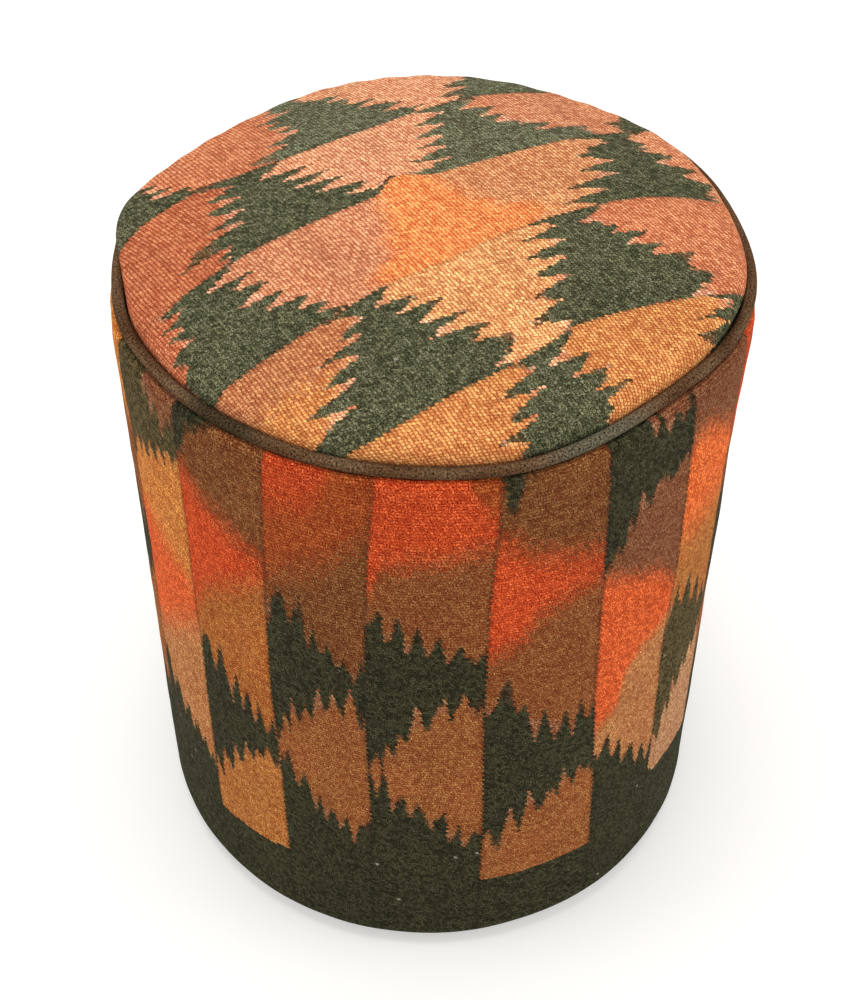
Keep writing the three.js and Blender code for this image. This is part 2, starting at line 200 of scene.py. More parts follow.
SIDE_BORDERS = [
    [(20, -225), (440, -225)],
    [(20, -160), (440, -159)],
    [(20, -97), (160, -98), (250, -101), (330, -99), (440, -94)],
    [(20, -38), (160, -37.5), (250, -39), (300, -38), (380, -35), (440, -30.5)],
    [(20, 33), (150, 34.5), (250, 32.5), (350, 34), (440, 38)],
    [(20, 116), (80, 115), (160, 112), (250, 106.5), (350, 104), (440, 102)],
    [(20, 170), (120, 169), (240, 165.5), (300, 168), (440, 170)],
    [(20, 232), (440, 232)],
]
# In these lanes the lighter, warmer copy of dark is painted light at the drum's two edges
SIDE_LANES = [
    ("dark", [
        ("sand", 0, [
            (-225, 186), (-216, 180), (-212, 158), (-203, 170), (-196, 146), (-189, 158), (-184, 137),
            (-179, 150), (-174, 131), (-170, 142), (-167, 121), (-163, 134), (-160, 117)]),
        ("vermilion", 18, [(-225, 208), (-160, 268)]),
        ("gold", 16, [(-225, 330), (-160, 302)]),
        ("umber", 0, [
            (-225, 358), (-221, 364), (-213, 383), (-207, 373), (-203, 390), (-197, 381), (-191, 393),
            (-184, 383), (-181, 399), (-175, 390), (-171, 405), (-166, 396), (-160, 402)]),
        ("mauve", 0, [
            (-225, 480), (-196, 470), (-190, 436), (-186, 450), (-182, 425), (-178, 440), (-172, 418),
            (-168, 432), (-163, 425), (-160, 440)])]),
    ("dark", [
        ("ochre", 0, [(-160, 76), (-97, 80)]),
        ("dark", 0, [
            (-160, 112), (-157, 134), (-152, 117), (-149, 149), (-141, 133), (-137, 167), (-131, 150),
            (-126, 174), (-120, 160), (-117, 179), (-112, 168), (-108, 186), (-102, 172), (-97, 180)]),
        ("bronze", 0, [
            (-160, 250), (-152, 266), (-148, 234), (-141, 258), (-134, 219), (-129, 243), (-125, 214),
            (-120, 232), (-116, 205), (-112, 224), (-107, 202), (-102, 216), (-97, 198)]),
        ("red", 14, [(-160, 282), (-150, 302), (-140, 316), (-120, 330), (-97, 350)]),
        ("dusk", 14, [(-160, 408), (-140, 386), (-97, 362)]),
        ("dark", 5, [(-160, 412), (-152, 418), (-149, 436), (-140, 440), (-130, 450), (-97, 475)])]),
    ("dark", [
        ("salmon", 0, [
            (-97, 182), (-91, 190), (-87, 163), (-80, 176), (-75, 142), (-71, 160), (-68, 134), (-63, 150),
            (-58, 127), (-53, 144), (-49, 117), (-45, 135), (-37, 137)]),
        ("dark", 0, [
            (-97, 206), (-92, 228), (-89, 214), (-86, 242), (-82, 226), (-77, 243), (-72, 232), (-68, 263),
            (-63, 240), (-58, 264), (-53, 245), (-47, 269), (-42, 243), (-37, 250)]),
        ("dusk", 0, [
            (-97, 318), (-94, 334), (-88, 346), (-84, 321), (-76, 338), (-72, 303), (-68, 320), (-65, 298),
            (-60, 312), (-56, 291), (-50, 300), (-45, 283), (-40, 296), (-37, 290)]),
        ("rust", 16, [(-97, 352), (-80, 368), (-60, 378), (-45, 395), (-37, 405)]),
        ("brick", 12, [(-97, 412), (-70, 418), (-58, 436), (-50, 466), (-37, 476)])]),
    ("dark", [
        ("salmon", 0, [
            (-37, 196), (-32, 172), (-28, 204), (-24, 160), (-17, 177), (-12, 154), (-6, 166), (1, 143),
            (10, 155), (13, 127), (18, 142), (23, 121), (29, 135), (33, 128)]),
        ("dark", 0, [
            (-37, 200), (-33, 214), (-29, 204), (-26, 228), (-22, 212), (-18, 242), (-14, 226), (-7, 263),
            (-2, 240), (8, 268), (13, 252), (20, 272), (27, 258), (33, 262)]),
        ("brown", 0, [
            (-37, 336), (-28, 348), (-25, 321), (-18, 341), (-13, 314), (-7, 333), (-1, 309), (6, 327),
            (11, 303), (19, 317), (25, 301), (33, 310)]),
        ("red", 12, [(-37, 362), (-31, 368), (-28, 384), (0, 390), (33, 400)]),
        ("rust", 8, [(-37, 478), (18, 460), (24, 436), (33, 424)])]),
    ("dark", [
        ("salmon", 0, [(33, 75), (106, 75)]),
        ("dark", 0, [
            (33, 124), (38, 130), (45, 110), (52, 148), (60, 124), (63, 161), (73, 140), (79, 161),
            (85, 150), (89, 171), (95, 157), (101, 173), (106, 164)]),
        ("brown", 0, [
            (33, 258), (38, 256), (47, 282), (53, 244), (58, 259), (66, 224), (71, 248), (79, 213),
            (87, 241), (90, 208), (97, 238), (102, 220), (106, 226)]),
        ("red", 12, [(33, 306), (48, 312), (58, 322), (62, 334), (80, 344), (106, 350)]),
        ("dusk", 14, [(33, 402), (45, 400), (55, 388), (70, 380), (106, 370)]),
        ("dark", 6, [(33, 470), (37, 440), (41, 424), (46, 424), (50, 446), (106, 480)])]),
    ("dark", [
        ("sand", 0, [
            (106, 180), (114, 169), (122, 189), (127, 158), (132, 176), (137, 150), (144, 163), (152, 136),
            (157, 152), (162, 130), (168, 140)]),
        ("vermilion", 8, [
            (106, 202), (120, 208), (127, 215), (129, 240), (140, 258), (155, 265), (168, 272)]),
        ("mauve", 10, [(106, 345), (125, 334), (150, 322), (168, 300)]),
        ("dark", 0, [
            (106, 350), (112, 366), (118, 364), (120, 388), (124, 372), (127, 396), (135, 388), (145, 402),
            (152, 396), (168, 408)]),
        ("mauve", 0, [
            (106, 478), (130, 470), (137, 438), (141, 452), (148, 432), (153, 446), (160, 436),
            (168, 446)])]),
    ("dark", [
        ("tan", 0, [(168, 108), (178, 100), (232, 94)]),
        ("umber", 0, [
            (168, 143), (172, 146), (176, 134), (180, 170), (184, 156), (188, 182), (194, 168), (200, 190),
            (206, 180), (213, 198), (219, 184), (226, 206), (232, 200)]),
        ("ochre", 0, [
            (168, 262), (176, 288), (182, 262), (190, 284), (198, 254), (206, 268), (214, 238), (222, 246),
            (232, 222)]),
        ("orange", 18, [(168, 334), (232, 330)]),
        ("mauve", 12, [(168, 402), (176, 412), (190, 410), (210, 395), (232, 376)])]),
]
# The lanes out of sight, left of these and then right: each border's dye, its softness, and its height at the
# lane's two sides. A softness of -1 is a straight border.
HIDDEN_LEFT = [
    ("dark", [("salmon", 0, 150, 190), ("dark", 0, 262, 214), ("brown", 0, 330, 368),
              ("red", 16, 410, 424)]),
    ("dark", [("ochre", -1, 76, 76), ("dark", 0, 118, 164), ("brown", 0, 258, 206), ("red", 16, 296, 336),
              ("mauve", 16, 392, 360)]),
    ("dark", [("salmon", 0, 172, 122), ("dark", 0, 210, 252), ("brown", 0, 322, 290),
              ("rust", 16, 356, 380), ("red", 14, 416, 420)]),
    ("dark", [("ochre", 0, 128, 176), ("vermilion", 16, 236, 204), ("mauve", 16, 300, 332),
              ("dark", 0, 398, 364)]),
    ("dark", [("sand", -1, 94, 94), ("dark", 0, 136, 182), ("gold", 0, 280, 232), ("orange", 16, 334, 330),
              ("brown", 14, 402, 396)]),
    ("dark", [("salmon", 0, 176, 130), ("dark", 0, 214, 250), ("brown", 0, 336, 300),
              ("gold", 16, 372, 388)]),
]
HIDDEN_RIGHT = [
    ("dark", [("salmon", 0, 178, 136), ("dark", 0, 216, 258), ("brown", 0, 330, 288),
              ("red", 16, 362, 384)]),
    ("dark", [("ochre", -1, 80, 80), ("dark", 0, 124, 168), ("brown", 0, 262, 208), ("rust", 16, 300, 338),
              ("mauve", 16, 396, 366)]),
    ("dark", [("gold", 0, 172, 128), ("vermilion", 16, 206, 248), ("brown", 16, 332, 322),
              ("dark", 0, 362, 398)]),
    ("dark", [("salmon", 0, 168, 120), ("dark", 0, 218, 256), ("brown", 0, 330, 292),
              ("red", 16, 366, 386)]),
    ("dark", [("sand", -1, 86, 86), ("dark", 0, 122, 170), ("gold", 0, 268, 214), ("orange", 16, 306, 336),
              ("mauve", 16, 398, 372)]),
    ("dark", [("salmon", 0, 160, 128), ("dark", 0, 222, 254), ("brown", 0, 326, 294),
              ("red", 16, 370, 388)]),
]
SIDE_LANE_WIDTH = 66
SIDE_EDGES = [SIDE_LANE_WIDTH * i for i in range(-6, 14)]
# The fingers of a hidden lane's border: how many, how far from its mean line, and how evenly. All fingers are
# lengthened by FINGER_STRETCH, because a tip is one stitch wide and fades out before its full length.
FINGERS = 5
FINGER_REACH = 16
FINGER_SPREAD = (0.75, 1.15)
FINGER_STRETCH = 1.3
LINE_SAMPLES = 20


def between(points, x):
    """Straight lines through (x, y) points, level past the two ends."""
    if x <= points[0][0]:
        return points[0][1]
    for (x0, y0), (x1, y1) in zip(points, points[1:]):
        if x <= x1:
            return y0 + (y1 - y0) * (x - x0) / (x1 - x0)
    return points[-1][1]


def lane_place(borders, across):
    """Where a place lies among the lane borders, counted in lanes from the first border."""
    last = len(borders) - 1
    for i in range(last):
        if across < borders[i + 1] or i == last - 1:
            return i + (across - borders[i]) / (borders[i + 1] - borders[i])
    return last


def upright(lanes):
    """Swaps each point's two numbers."""
    return [(first, [(dye, soft, [(b, a) for a, b in points]) for dye, soft, points in rows])
            for first, rows in lanes]


def fitted_line(points):
    """Where a straight line through a border's points starts and ends."""
    samples = [(i / LINE_SAMPLES, between(points, i / LINE_SAMPLES)) for i in range(LINE_SAMPLES + 1)]
    mean = sum(y for _, y in samples) / len(samples)
    slope = sum((x - 0.5) * y for x, y in samples) / sum((x - 0.5) ** 2 for x, _ in samples)
    return mean - slope / 2, mean + slope / 2


def stretched(points):
    """A border with its fingers lengthened on both sides of its mean line."""
    start, end = fitted_line(points)
    out = []
    for share, along in points:
        middle = start + (end - start) * share
        out.append((share, middle + FINGER_STRETCH * (along - middle)))
    return out


def measured_lanes(lanes, borders):
    """Each border's (along, across) points as (share of the lane's width, along), in order."""
    out = []
    for (first, rows), low_edge, high_edge in zip(lanes, borders, borders[1:]):
        made = []
        for dye, soft, points in rows:
            shares = []
            for along, across in points:
                low, high = between(low_edge, along), between(high_edge, along)
                shares.append((min(1, max(0, (across - low) / (high - low))), along))
            fingered = soft == 0 and len(points) > 3
            made.append((dye, soft, stretched(sorted(shares)) if fingered else sorted(shares), fingered))
        out.append((first, made))
    return out


def guessed_lanes(lanes, seed):
    """Lanes out of sight, with fingers of the same kind."""
    pick = random.Random(seed)
    out = []
    for first, rows in lanes:
        made = []
        for dye, soft, start, end in rows:
            points = [(0, start), (1, end)]
            if soft == 0:
                for k in range(2 * FINGERS):
                    share = (k + 0.5) / (2 * FINGERS)
                    reach = FINGER_REACH * pick.uniform(*FINGER_SPREAD) * (1 if k % 2 else -1)
                    points.append((share, start + (end - start) * share + reach))
            made.append((dye, max(0, soft), sorted(points), soft == 0))
        out.append((first, made))
    return out


def top_cloth_place(x, y):
    """Millimetres in plan on the seat to the cloth's own millimetres, where the lanes are straight."""
    along = x * math.cos(LANE_TURN) + y * math.sin(LANE_TURN)
    across = -x * math.sin(LANE_TURN) + y * math.cos(LANE_TURN)
    place = lane_place([between(points, along) for points in TOP_BORDERS], across)
    return along, between(list(enumerate(TOP_EDGES)), place)


def side_cloth_place(around, height):
    """Millimetres round the drum and up it to the cloth's own millimetres."""
    borders = [between(points, height) for points in SIDE_BORDERS]
    half = WALL_GIRTH / 2
    lanes = len(borders) - 1
    hidden = len(HIDDEN_LEFT) - 0.5
    if around < borders[0]:
        place = hidden * (around - borders[0]) / (borders[0] + half)
    elif around > borders[-1]:
        place = lanes + hidden * (around - borders[-1]) / (half - borders[-1])
    else:
        place = lane_place(borders, around)
    return height, SIDE_LANE_WIDTH * place


# What sets the two cloths apart: their lanes and dyes, how deep the painted shade in the slits and between
# the beads is and how bright the beads' painted highlights are, and how deep the fuzz and beads are.
# pink_from gives, for each lane, the share of its width where its gold and amber turn pink, and how strongly.

TOP = SimpleNamespace(
    lanes=measured_lanes(TOP_LANES, TOP_BORDERS),
    edges=TOP_EDGES,
    bounds=(-230, 230),
    wool=TOP_WOOL,
    pink_from=[(1.0, 0.0), (0.62, 0.75), (0.37, 0.35), (1.0, 0.0), (1.0, 0.0)],
    pink=linear(190, 118, 82),
    tip=linear(232, 168, 138),
    shade=linear(126, 80, 48),
    slit_and_shade=0.3,
    dark_dye_shading=(0.4, 1.2),
    light_dye_shading=(0.34, 1.2),
    fuzz=0.55,
    relief=1.0,
    haze=0.9,
)
SIDE = SimpleNamespace(
    lanes=[
        *guessed_lanes(HIDDEN_LEFT, 11),
        *measured_lanes(upright(SIDE_LANES), SIDE_BORDERS),
        *guessed_lanes(HIDDEN_RIGHT, 23),
    ],
    edges=SIDE_EDGES,
    bounds=(-60, 500),
    wool=SIDE_WOOL,
    pink_from=[],
    tip=linear(150, 98, 72),
    shade=linear(74, 48, 32),
    slit_and_shade=0.5,
    dark_dye_shading=(0.68, 1.16),
    light_dye_shading=(0.58, 1.12),
    fuzz=1.2,
    relief=0.5,
    haze=2.0,
)


# Materials

class Value:
    """One output of a node. A sum with it makes a Math node."""

    def __init__(self, graph, socket):
        self.graph = graph
        self.socket = socket

    def __add__(self, other):
        return self.graph.math("ADD", self, other)

    def __sub__(self, other):
        return self.graph.math("SUBTRACT", self, other)

    def __rsub__(self, other):
        return self.graph.math("SUBTRACT", other, self)

    def __mul__(self, other):
        return self.graph.math("MULTIPLY", self, other)

    def __abs__(self):
        return self.graph.math("ABSOLUTE", self)

    def over(self, limit):
        return self.graph.math("GREATER_THAN", self, limit)

    def floor(self):
        return self.graph.math("FLOOR", self)

    def zigzag(self, length):
        """0 to 0.5 and back, once in each length."""
        return self.graph.math("PINGPONG", self * (1 / length), 0.5)


class Graph:
    """Short calls that build the nodes of one material or of the world."""

    def __init__(self, owner, output="ShaderNodeOutputMaterial"):
        self.owner = owner
        owner.use_nodes = True
        self.tree = owner.node_tree
        self.tree.nodes.clear()
        self.surface = self.node(output).inputs["Surface"]

    def put(self, socket, value):
        if isinstance(value, Value):
            self.tree.links.new(value.socket, socket)
        elif socket.type == "RGBA" and len(value) == 3:
            socket.default_value = (*value, 1)
        else:
            socket.default_value = value

    def node(self, kind, inputs=(), **settings):
        made = self.tree.nodes.new(kind)
        for key, value in settings.items():
            setattr(made, key, value)
        for key, value in dict(inputs).items():
            self.put(made.inputs[key], value)
        return made

    def value(self, kind, inputs=(), output=0, **settings):
        return Value(self, self.node(kind, inputs, **settings).outputs[output])

    def values(self, kind, inputs=(), **settings):
        return [Value(self, socket) for socket in self.node(kind, inputs, **settings).outputs]

    def math(self, operation, *values):
        return self.value("ShaderNodeMath", enumerate(values), operation=operation)

    def span(self, value, low, high, to_low=0.0, to_high=1.0, smooth=False):
        """Maps low..high to to_low..to_high, and holds there."""
        inputs = {"Value": value, "From Min": low, "From Max": high, "To Min": to_low, "To Max": to_high}
        kind = "SMOOTHSTEP" if smooth else "LINEAR"
        return self.value("ShaderNodeMapRange", inputs, interpolation_type=kind)

    def mix(self, share, a, b, blend="MIX"):
        """From colour a to colour b."""
        return self.value("ShaderNodeMix", {0: share, 6: a, 7: b}, 2, data_type="RGBA", blend_type=blend)

    def blend(self, share, a, b):
        """From number a to number b."""
        return self.value("ShaderNodeMix", {0: share, 2: a, 3: b}, data_type="FLOAT")

    def vector(self, x, y, z=0.0):
        return self.value("ShaderNodeCombineXYZ", {0: x, 1: y, 2: z})

    def split(self, colour):
        return self.values("ShaderNodeSeparateColor", {"Color": colour})

    def noise(self, place, scale, detail=2.0, rough=0.5):
        inputs = {"Vector": place, "Scale": scale, "Detail": detail, "Roughness": rough}
        return self.value("ShaderNodeTexNoise", inputs, "Fac")

    def random(self, x, y, z=0.0):
        """Three random numbers that stay the same over one cell, and a fourth on its own."""
        value, colour = self.values("ShaderNodeTexWhiteNoise", {"Vector": self.vector(x, y, z)})
        return (*self.split(colour), value)

    def place(self, uv_map=None):
        """Millimetres, as a vector and apart: of the UV map if one is named, or else of the object."""
        if uv_map:
            place = self.value("ShaderNodeUVMap", uv_map=uv_map)
        else:
            metres = self.value("ShaderNodeTexCoord", output="Object")
            place = self.value("ShaderNodeVectorMath", {0: metres, "Scale": 1 / MM}, operation="SCALE")
        return place, self.values("ShaderNodeSeparateXYZ", {0: place})

    def curve(self, key, points):
        """Straight lines through (0 to 1, 0 to 1) points."""
        made = self.node("ShaderNodeFloatCurve", {"Value": key})
        line = made.mapping.curves[0]
        line.points[0].location = points[0]
        line.points[-1].location = points[-1]
        for point in points[1:-1]:
            line.points.new(*point)
        for point in line.points:
            point.handle_type = "VECTOR"
        made.mapping.update()
        return Value(self, made.outputs[0])

    def ramp(self, key, stops, interpolation="LINEAR"):
        """A colour and its alpha, by (place, colour) stops."""
        made = self.node("ShaderNodeValToRGB", {"Fac": key})
        made.color_ramp.interpolation = interpolation
        elements = made.color_ramp.elements
        for i, (at, colour) in enumerate(stops):
            stop = elements[i] if i < 2 else elements.new(at)
            stop.position = at
            stop.color = colour if len(colour) == 4 else (*colour, 1)
        return [Value(self, socket) for socket in made.outputs]

    def table(self, key, rows):
        """A row's first three numbers as a colour and its fourth as a value; key is its place, 0 to 1."""
        return self.ramp(key, [(i / len(rows), row) for i, row in enumerate(rows)], "CONSTANT")


class Material(Graph):
    """One material with a Principled shader."""

    def __init__(self, name):
        super().__init__(bpy.data.materials.new(name))
        self.shader = self.node("ShaderNodeBsdfPrincipled")
        self.put(self.surface, Value(self, self.shader.outputs[0]))

    def finish(self, colour, roughness, height, depth, **constants):
        """Sets the shader. height is 0 to 1 and depth is what 1 stands for, in metres."""
        self.put(self.shader.inputs["Base Color"], colour)
        self.put(self.shader.inputs["Roughness"], roughness)
        for name, value in constants.items():
            self.shader.inputs[name.replace("_", " ")].default_value = value
        bump = self.value("ShaderNodeBump", {"Strength": 1.0, "Distance": depth, "Height": height})
        self.put(self.shader.inputs["Normal"], bump)
        return self.owner


# How the kilim is drawn, in millimetres. A bead strays by up to STRAY and slants by SLANT of its width.
# Passes of the weft end up to PASS_REACH apart. A softness or a finger's tip counts in full at its REACH.

STRAY = 0.45
SLANT = 0.35
PASS_REACH = 9.0
SOFT_REACH = 60.0
TIP_REACH = 10.0
LIGHT_DYE = (0.12, 0.2)
DARK_TINT = (0.45, 1.55)
LIGHT_TINT = (0.76, 1.24)
DARK_FUZZ = (0.4, 0.66, 0.0, 2.75)
# LIGHT_DEPTH and BLUE_DEPTH: how far painted highlights pale a light dye and painted shade deepens it, blue
# more so than green
LIGHT_DEPTH = 1.8
BLUE_DEPTH = 1.1
LINT_SHARE = 0.9993
LINT = (0.62, 0.58, 0.5)
# The colour of the painted shade in the slits between lanes
SLIT_SHADE = (0.012, 0.010, 0.008)
# A curve node holds the borders of CURVE_LANES lanes, with a level margin between them
CURVE_LANES = 7
EDGE_MARGIN = 0.04


def scaled(value, bounds):
    """A height as a share of the bounds, held within them."""
    low, high = bounds
    return min(1, max(0, (value - low) / (high - low)))


def border_curves(lanes, slot, bounds):
    """The slot's border of every lane as (place, height) points of 0 to 1, CURVE_LANES lanes to a curve."""
    curves = []
    for first in range(0, len(lanes), CURVE_LANES):
        group = lanes[first:first + CURVE_LANES]
        points = []
        for i, (_, rows) in enumerate(group):
            border = rows[slot][2] if slot < len(rows) else [(0, bounds[1]), (1, bounds[1])]
            ends = [(-EDGE_MARGIN * 0.9, border[0][1]), *border, (1 + EDGE_MARGIN * 0.9, border[-1][1])]
            for share, along in ends:
                place = (i + EDGE_MARGIN + (1 - 2 * EDGE_MARGIN) * share) / len(group)
                points.append((place, scaled(along, bounds)))
        points[0] = (0, points[0][1])
        points[-1] = (1, points[-1][1])
        curves.append((first, len(group), points))
    return curves


def border_rows(lanes, wool, bounds, slot):
    """The slot's border of each lane as two lists of four numbers: its mean line, and the dye past it."""
    low, high = bounds
    shapes, colours = [], []
    for _, rows in lanes:
        if slot < len(rows):
            dye, soft, points, fingered = rows[slot]
            ends = [(end - low) / (high - low) for end in fitted_line(points)]
            shape = [*ends, float(fingered), soft / SOFT_REACH]
        else:
            dye, shape = "dark", [1, 1, 0, 0]
        shapes.append(shape)
        colours.append(dye_row(wool, dye))
    return shapes, colours


def dye_row(wool, dye):
    """A dye's colour, and 1 where it is one that turns pink."""
    return (*wool[dye], float(dye in PINK_DYES))


class Kilim(Material):
    """Weft-faced tapestry wool: lanes of colour with fingered borders, every border cut at whole stitches."""

    def __init__(self, name, cloth):
        super().__init__(name)
        self.cloth = cloth
        _, (self.u, self.v, _) = self.place("cloth")
        self.lay_stitches()
        self.find_lanes()
        self.dye_lanes()
        self.light = self.span(self.split(self.colour)[0], *LIGHT_DYE)
        if cloth.pink_from:
            self.turn_pink()
        self.tint_tips()
        bulge, fibre = self.shape_beads()
        # The slits between lanes: painted shade in the colour, and a groove in the bump
        slit_and_shade = self.span(abs(self.share - 0.5), 0.47, 0.5) * cloth.slit_and_shade
        colour = self.mix(slit_and_shade, self.colour, SLIT_SHADE)
        height = bulge * cloth.relief + fibre * 0.7 - slit_and_shade
        self.finish(colour, 0.95, height, 0.0007, Specular_IOR_Level=0.06)

    def lay_stitches(self):
        """Slanted beads, each row half a bead past the row before it and none quite in line."""
        inputs = {"Vector": self.vector(self.u, self.v), "Scale": 0.4, "Detail": 1.0}
        stray = self.split(self.value("ShaderNodeTexNoise", inputs, "Color"))
        u = (self.u + self.span(stray[0], 0.2, 0.8, -STRAY, STRAY)) * (1 / STITCH_U)
        v = (self.v + self.span(stray[1], 0.2, 0.8, -STRAY, STRAY)) * (1 / STITCH_V)
        self.row = u.floor()
        self.in_row = u - self.row
        shift = self.math("FLOORED_MODULO", self.row, 2.0) * 0.5
        run = v + shift + self.in_row * SLANT
        self.bead = run.floor()
        self.in_bead = run - self.bead
        self.along = (self.row + 0.5) * STITCH_U
        self.across = (self.bead + (0.5 - SLANT / 2) - shift) * STITCH_V
        self.chances = self.random(self.row, self.bead)

    def find_lanes(self):
        """The number of the lane that a bead is in, and its share of that lane's width."""
        count = len(self.cloth.lanes)
        run = 0.0
        for edge, next_edge in zip(self.cloth.edges, self.cloth.edges[1:]):
            run = self.math("ADD", run, self.span(self.across, edge, next_edge))
        self.lane = self.math("MINIMUM", run.floor(), count - 1.0)
        self.share = run - self.lane
        self.lane_key = (self.lane + 0.5) * (1 / count)

    def border_height(self, slot):
        """How far along the lane its border lies, at this share of its width."""
        low, high = self.cloth.bounds
        place = self.lane + EDGE_MARGIN + self.share * (1 - 2 * EDGE_MARGIN)
        border = None
        for start, count, points in border_curves(self.cloth.lanes, slot, self.cloth.bounds):
            height = self.curve((place - float(start)) * (1 / count), points)
            border = self.blend(self.lane.over(start - 0.5), border, height) if border else height
        return border * (high - low) + low

    def dye_lanes(self):
        """The dyes, one border after another, and where the tips of the fingers are."""
        lanes, wool, bounds = self.cloth.lanes, self.cloth.wool, self.cloth.bounds
        low, high = bounds
        self.colour, self.takes_pink = self.table(self.lane_key, [dye_row(wool, first) for first, _ in lanes])
        self.in_tip = 0.0
        for slot in range(max(len(rows) for _, rows in lanes)):
            shapes, colours = border_rows(lanes, wool, bounds, slot)
            mean, soft = self.table(self.lane_key, shapes)
            start, end, fingered = self.split(mean)
            soft = soft * SOFT_REACH + fingered * self.cloth.haze
            one_pass = (self.random(self.bead, self.lane, float(slot))[3] - 0.5) * PASS_REACH
            border = self.border_height(slot) + one_pass * fingered
            place = self.along + (self.chances[0] - 0.5) * soft
            past = self.span(place, border - soft - 0.01, border + soft)
            next_colour, next_takes_pink = self.table(self.lane_key, colours)
            self.colour = self.mix(past, self.colour, next_colour)
            self.takes_pink = self.blend(past, self.takes_pink, next_takes_pink)
            from_middle = self.along - (self.blend(self.share, start, end) * (high - low) + low)
            wrong_side = abs(past - from_middle.over(0.0))
            reach = self.span(abs(from_middle), 1.0, TIP_REACH)
            self.in_tip = self.math("MAXIMUM", self.in_tip, reach * wrong_side * fingered)

    def turn_pink(self):
        """Some dyes turn pink from a share of the lane's width on."""
        rows = [(start, 0, 0, amount) for start, amount in self.cloth.pink_from]
        turn, strength = self.table(self.lane_key, rows)
        wander = (self.chances[1] - 0.5) * 0.16
        is_pink = self.span(self.share + wander - self.split(turn)[0], -0.05, 0.05)
        self.colour = self.mix(is_pink * strength * self.takes_pink, self.colour, self.cloth.pink)

    def tint_tips(self):
        """Pale tips of light fingers and brown tips of dark ones."""
        chance = self.chances[1]
        pale = self.in_tip * self.light * self.span(chance, 0, 1, 0.3, 0.9)
        self.colour = self.mix(pale, self.colour, self.cloth.tip)
        brown = self.in_tip * (1.0 - self.light) * self.span(chance, 0, 1, 0.2, 0.8)
        self.colour = self.mix(brown, self.colour, self.cloth.shade)

    def round_off(self, place):
        """A half round over a place of 0 to 1."""
        side = place * 2.0 - 1.0
        return self.math("SQRT", self.math("MAXIMUM", 1.0 - side * side, 0.0))

    def shape_beads(self):
        """Each bead's own tint, painted shade in the gaps round it and a painted highlight on its crown, with
        streaks, patches and loose fibres over all.
        """
        cloth, light = self.cloth, self.light
        streak = self.noise(self.vector(self.along * 0.35, self.v * 0.012, self.lane), 1.0, 3.0)
        patch = self.noise(self.vector(self.u * 0.02, self.v * 0.02, 3.0), 1.0, 2.0)
        dye_depth = self.span(streak, 0.3, 0.7, 0.91, 1.09) * self.span(patch, 0.3, 0.7, 0.93, 1.07)
        chance = self.chances[2]
        tint = self.blend(light, self.span(chance, 0, 1, *DARK_TINT), self.span(chance, 0, 1, *LIGHT_TINT))
        # The bead's round shape sets painted shade in the gaps between beads and a painted highlight on its
        # crown
        bulge = self.round_off(self.in_row) * self.span(self.round_off(self.in_bead), 0, 1, 0.35, 1)
        dark_dye_shading, light_dye_shading = (self.span(bulge, 0, 0.9, *bead_shading) for bead_shading in (cloth.dark_dye_shading, cloth.light_dye_shading))
        bead_shading = self.blend(light, dark_dye_shading, light_dye_shading)
        fibre = self.noise(self.vector(self.u, self.v), 1.15, 3.0, 0.7)
        light_fuzz = self.span(fibre, 0.3, 0.7, 1 - cloth.fuzz, 1 + cloth.fuzz)
        fuzz = self.blend(light, self.span(fibre, *DARK_FUZZ), light_fuzz)
        value = self.math("MAXIMUM", tint * bead_shading * fuzz, 0.05)
        # Painted highlights make the wool paler and the painted shade in its gaps makes it deeper in colour,
        # the more so the lighter its dye; the beads' own tints and fuzz go the same way
        depth = self.blend(light, 1.0, LIGHT_DEPTH)
        green, blue = (self.math("POWER", value, power) for power in (depth, depth * BLUE_DEPTH))
        parts = {i: part * dye_depth for i, part in enumerate((value, green, blue))}
        self.colour = self.mix(1.0, self.colour, self.value("ShaderNodeCombineColor", parts), "MULTIPLY")
        lint = self.random(self.row, self.bead, 7.0)[0].over(LINT_SHARE) * (1.0 - light)
        self.colour = self.mix(lint * 0.4, self.colour, LINT)
        return bulge, fibre


# The piping's mossy and dark stretches: distance round from the front, half width and colour
PIPING_STRETCHES = [(95, 45, linear(99, 95, 78)), (-120, 36, linear(56, 46, 29))]


def piping_cloth():
    """A plain weave cut on the bias, so that its threads cross the piping at a slant."""
    g = Material("piping_cloth")
    _, (u, v, _) = g.place("cloth")
    weave = g.math("MAXIMUM", (u + v).zigzag(0.9), (u - v).zigzag(0.9)) * 2.0
    worn = g.noise(g.vector(u * 0.09, v * 0.02), 1.0, 3.0)
    fuzz = g.noise(g.vector(u, v), 0.8, 2.0, 0.7)
    browns = [(0.35, linear(80, 54, 32)), (0.5, linear(96, 69, 46)), (0.65, linear(112, 88, 65))]
    colour = g.ramp(worn, browns)[0]
    front = 1.5 * math.pi * PIPING_RADIUS
    for middle, width, tone in PIPING_STRETCHES:
        away = abs(v - (front + middle))
        colour = g.mix(g.span(away, width * 0.3, width, 0.9, 0, smooth=True), colour, tone)
    # The weave's gaps are darker and its crowns a little lighter: painted shade and painted highlight; the
    # fuzz varies the tone at random
    value = g.span(weave, 0, 0.8, 0.7, 1.1) * g.span(fuzz, 0.36, 0.64, 0.1, 1.9)
    colour = g.mix(1.0, colour, g.vector(value, value, value), "MULTIPLY")
    return g.finish(colour, 0.95, weave + fuzz * 0.5, 0.0003, Specular_IOR_Level=0.1)


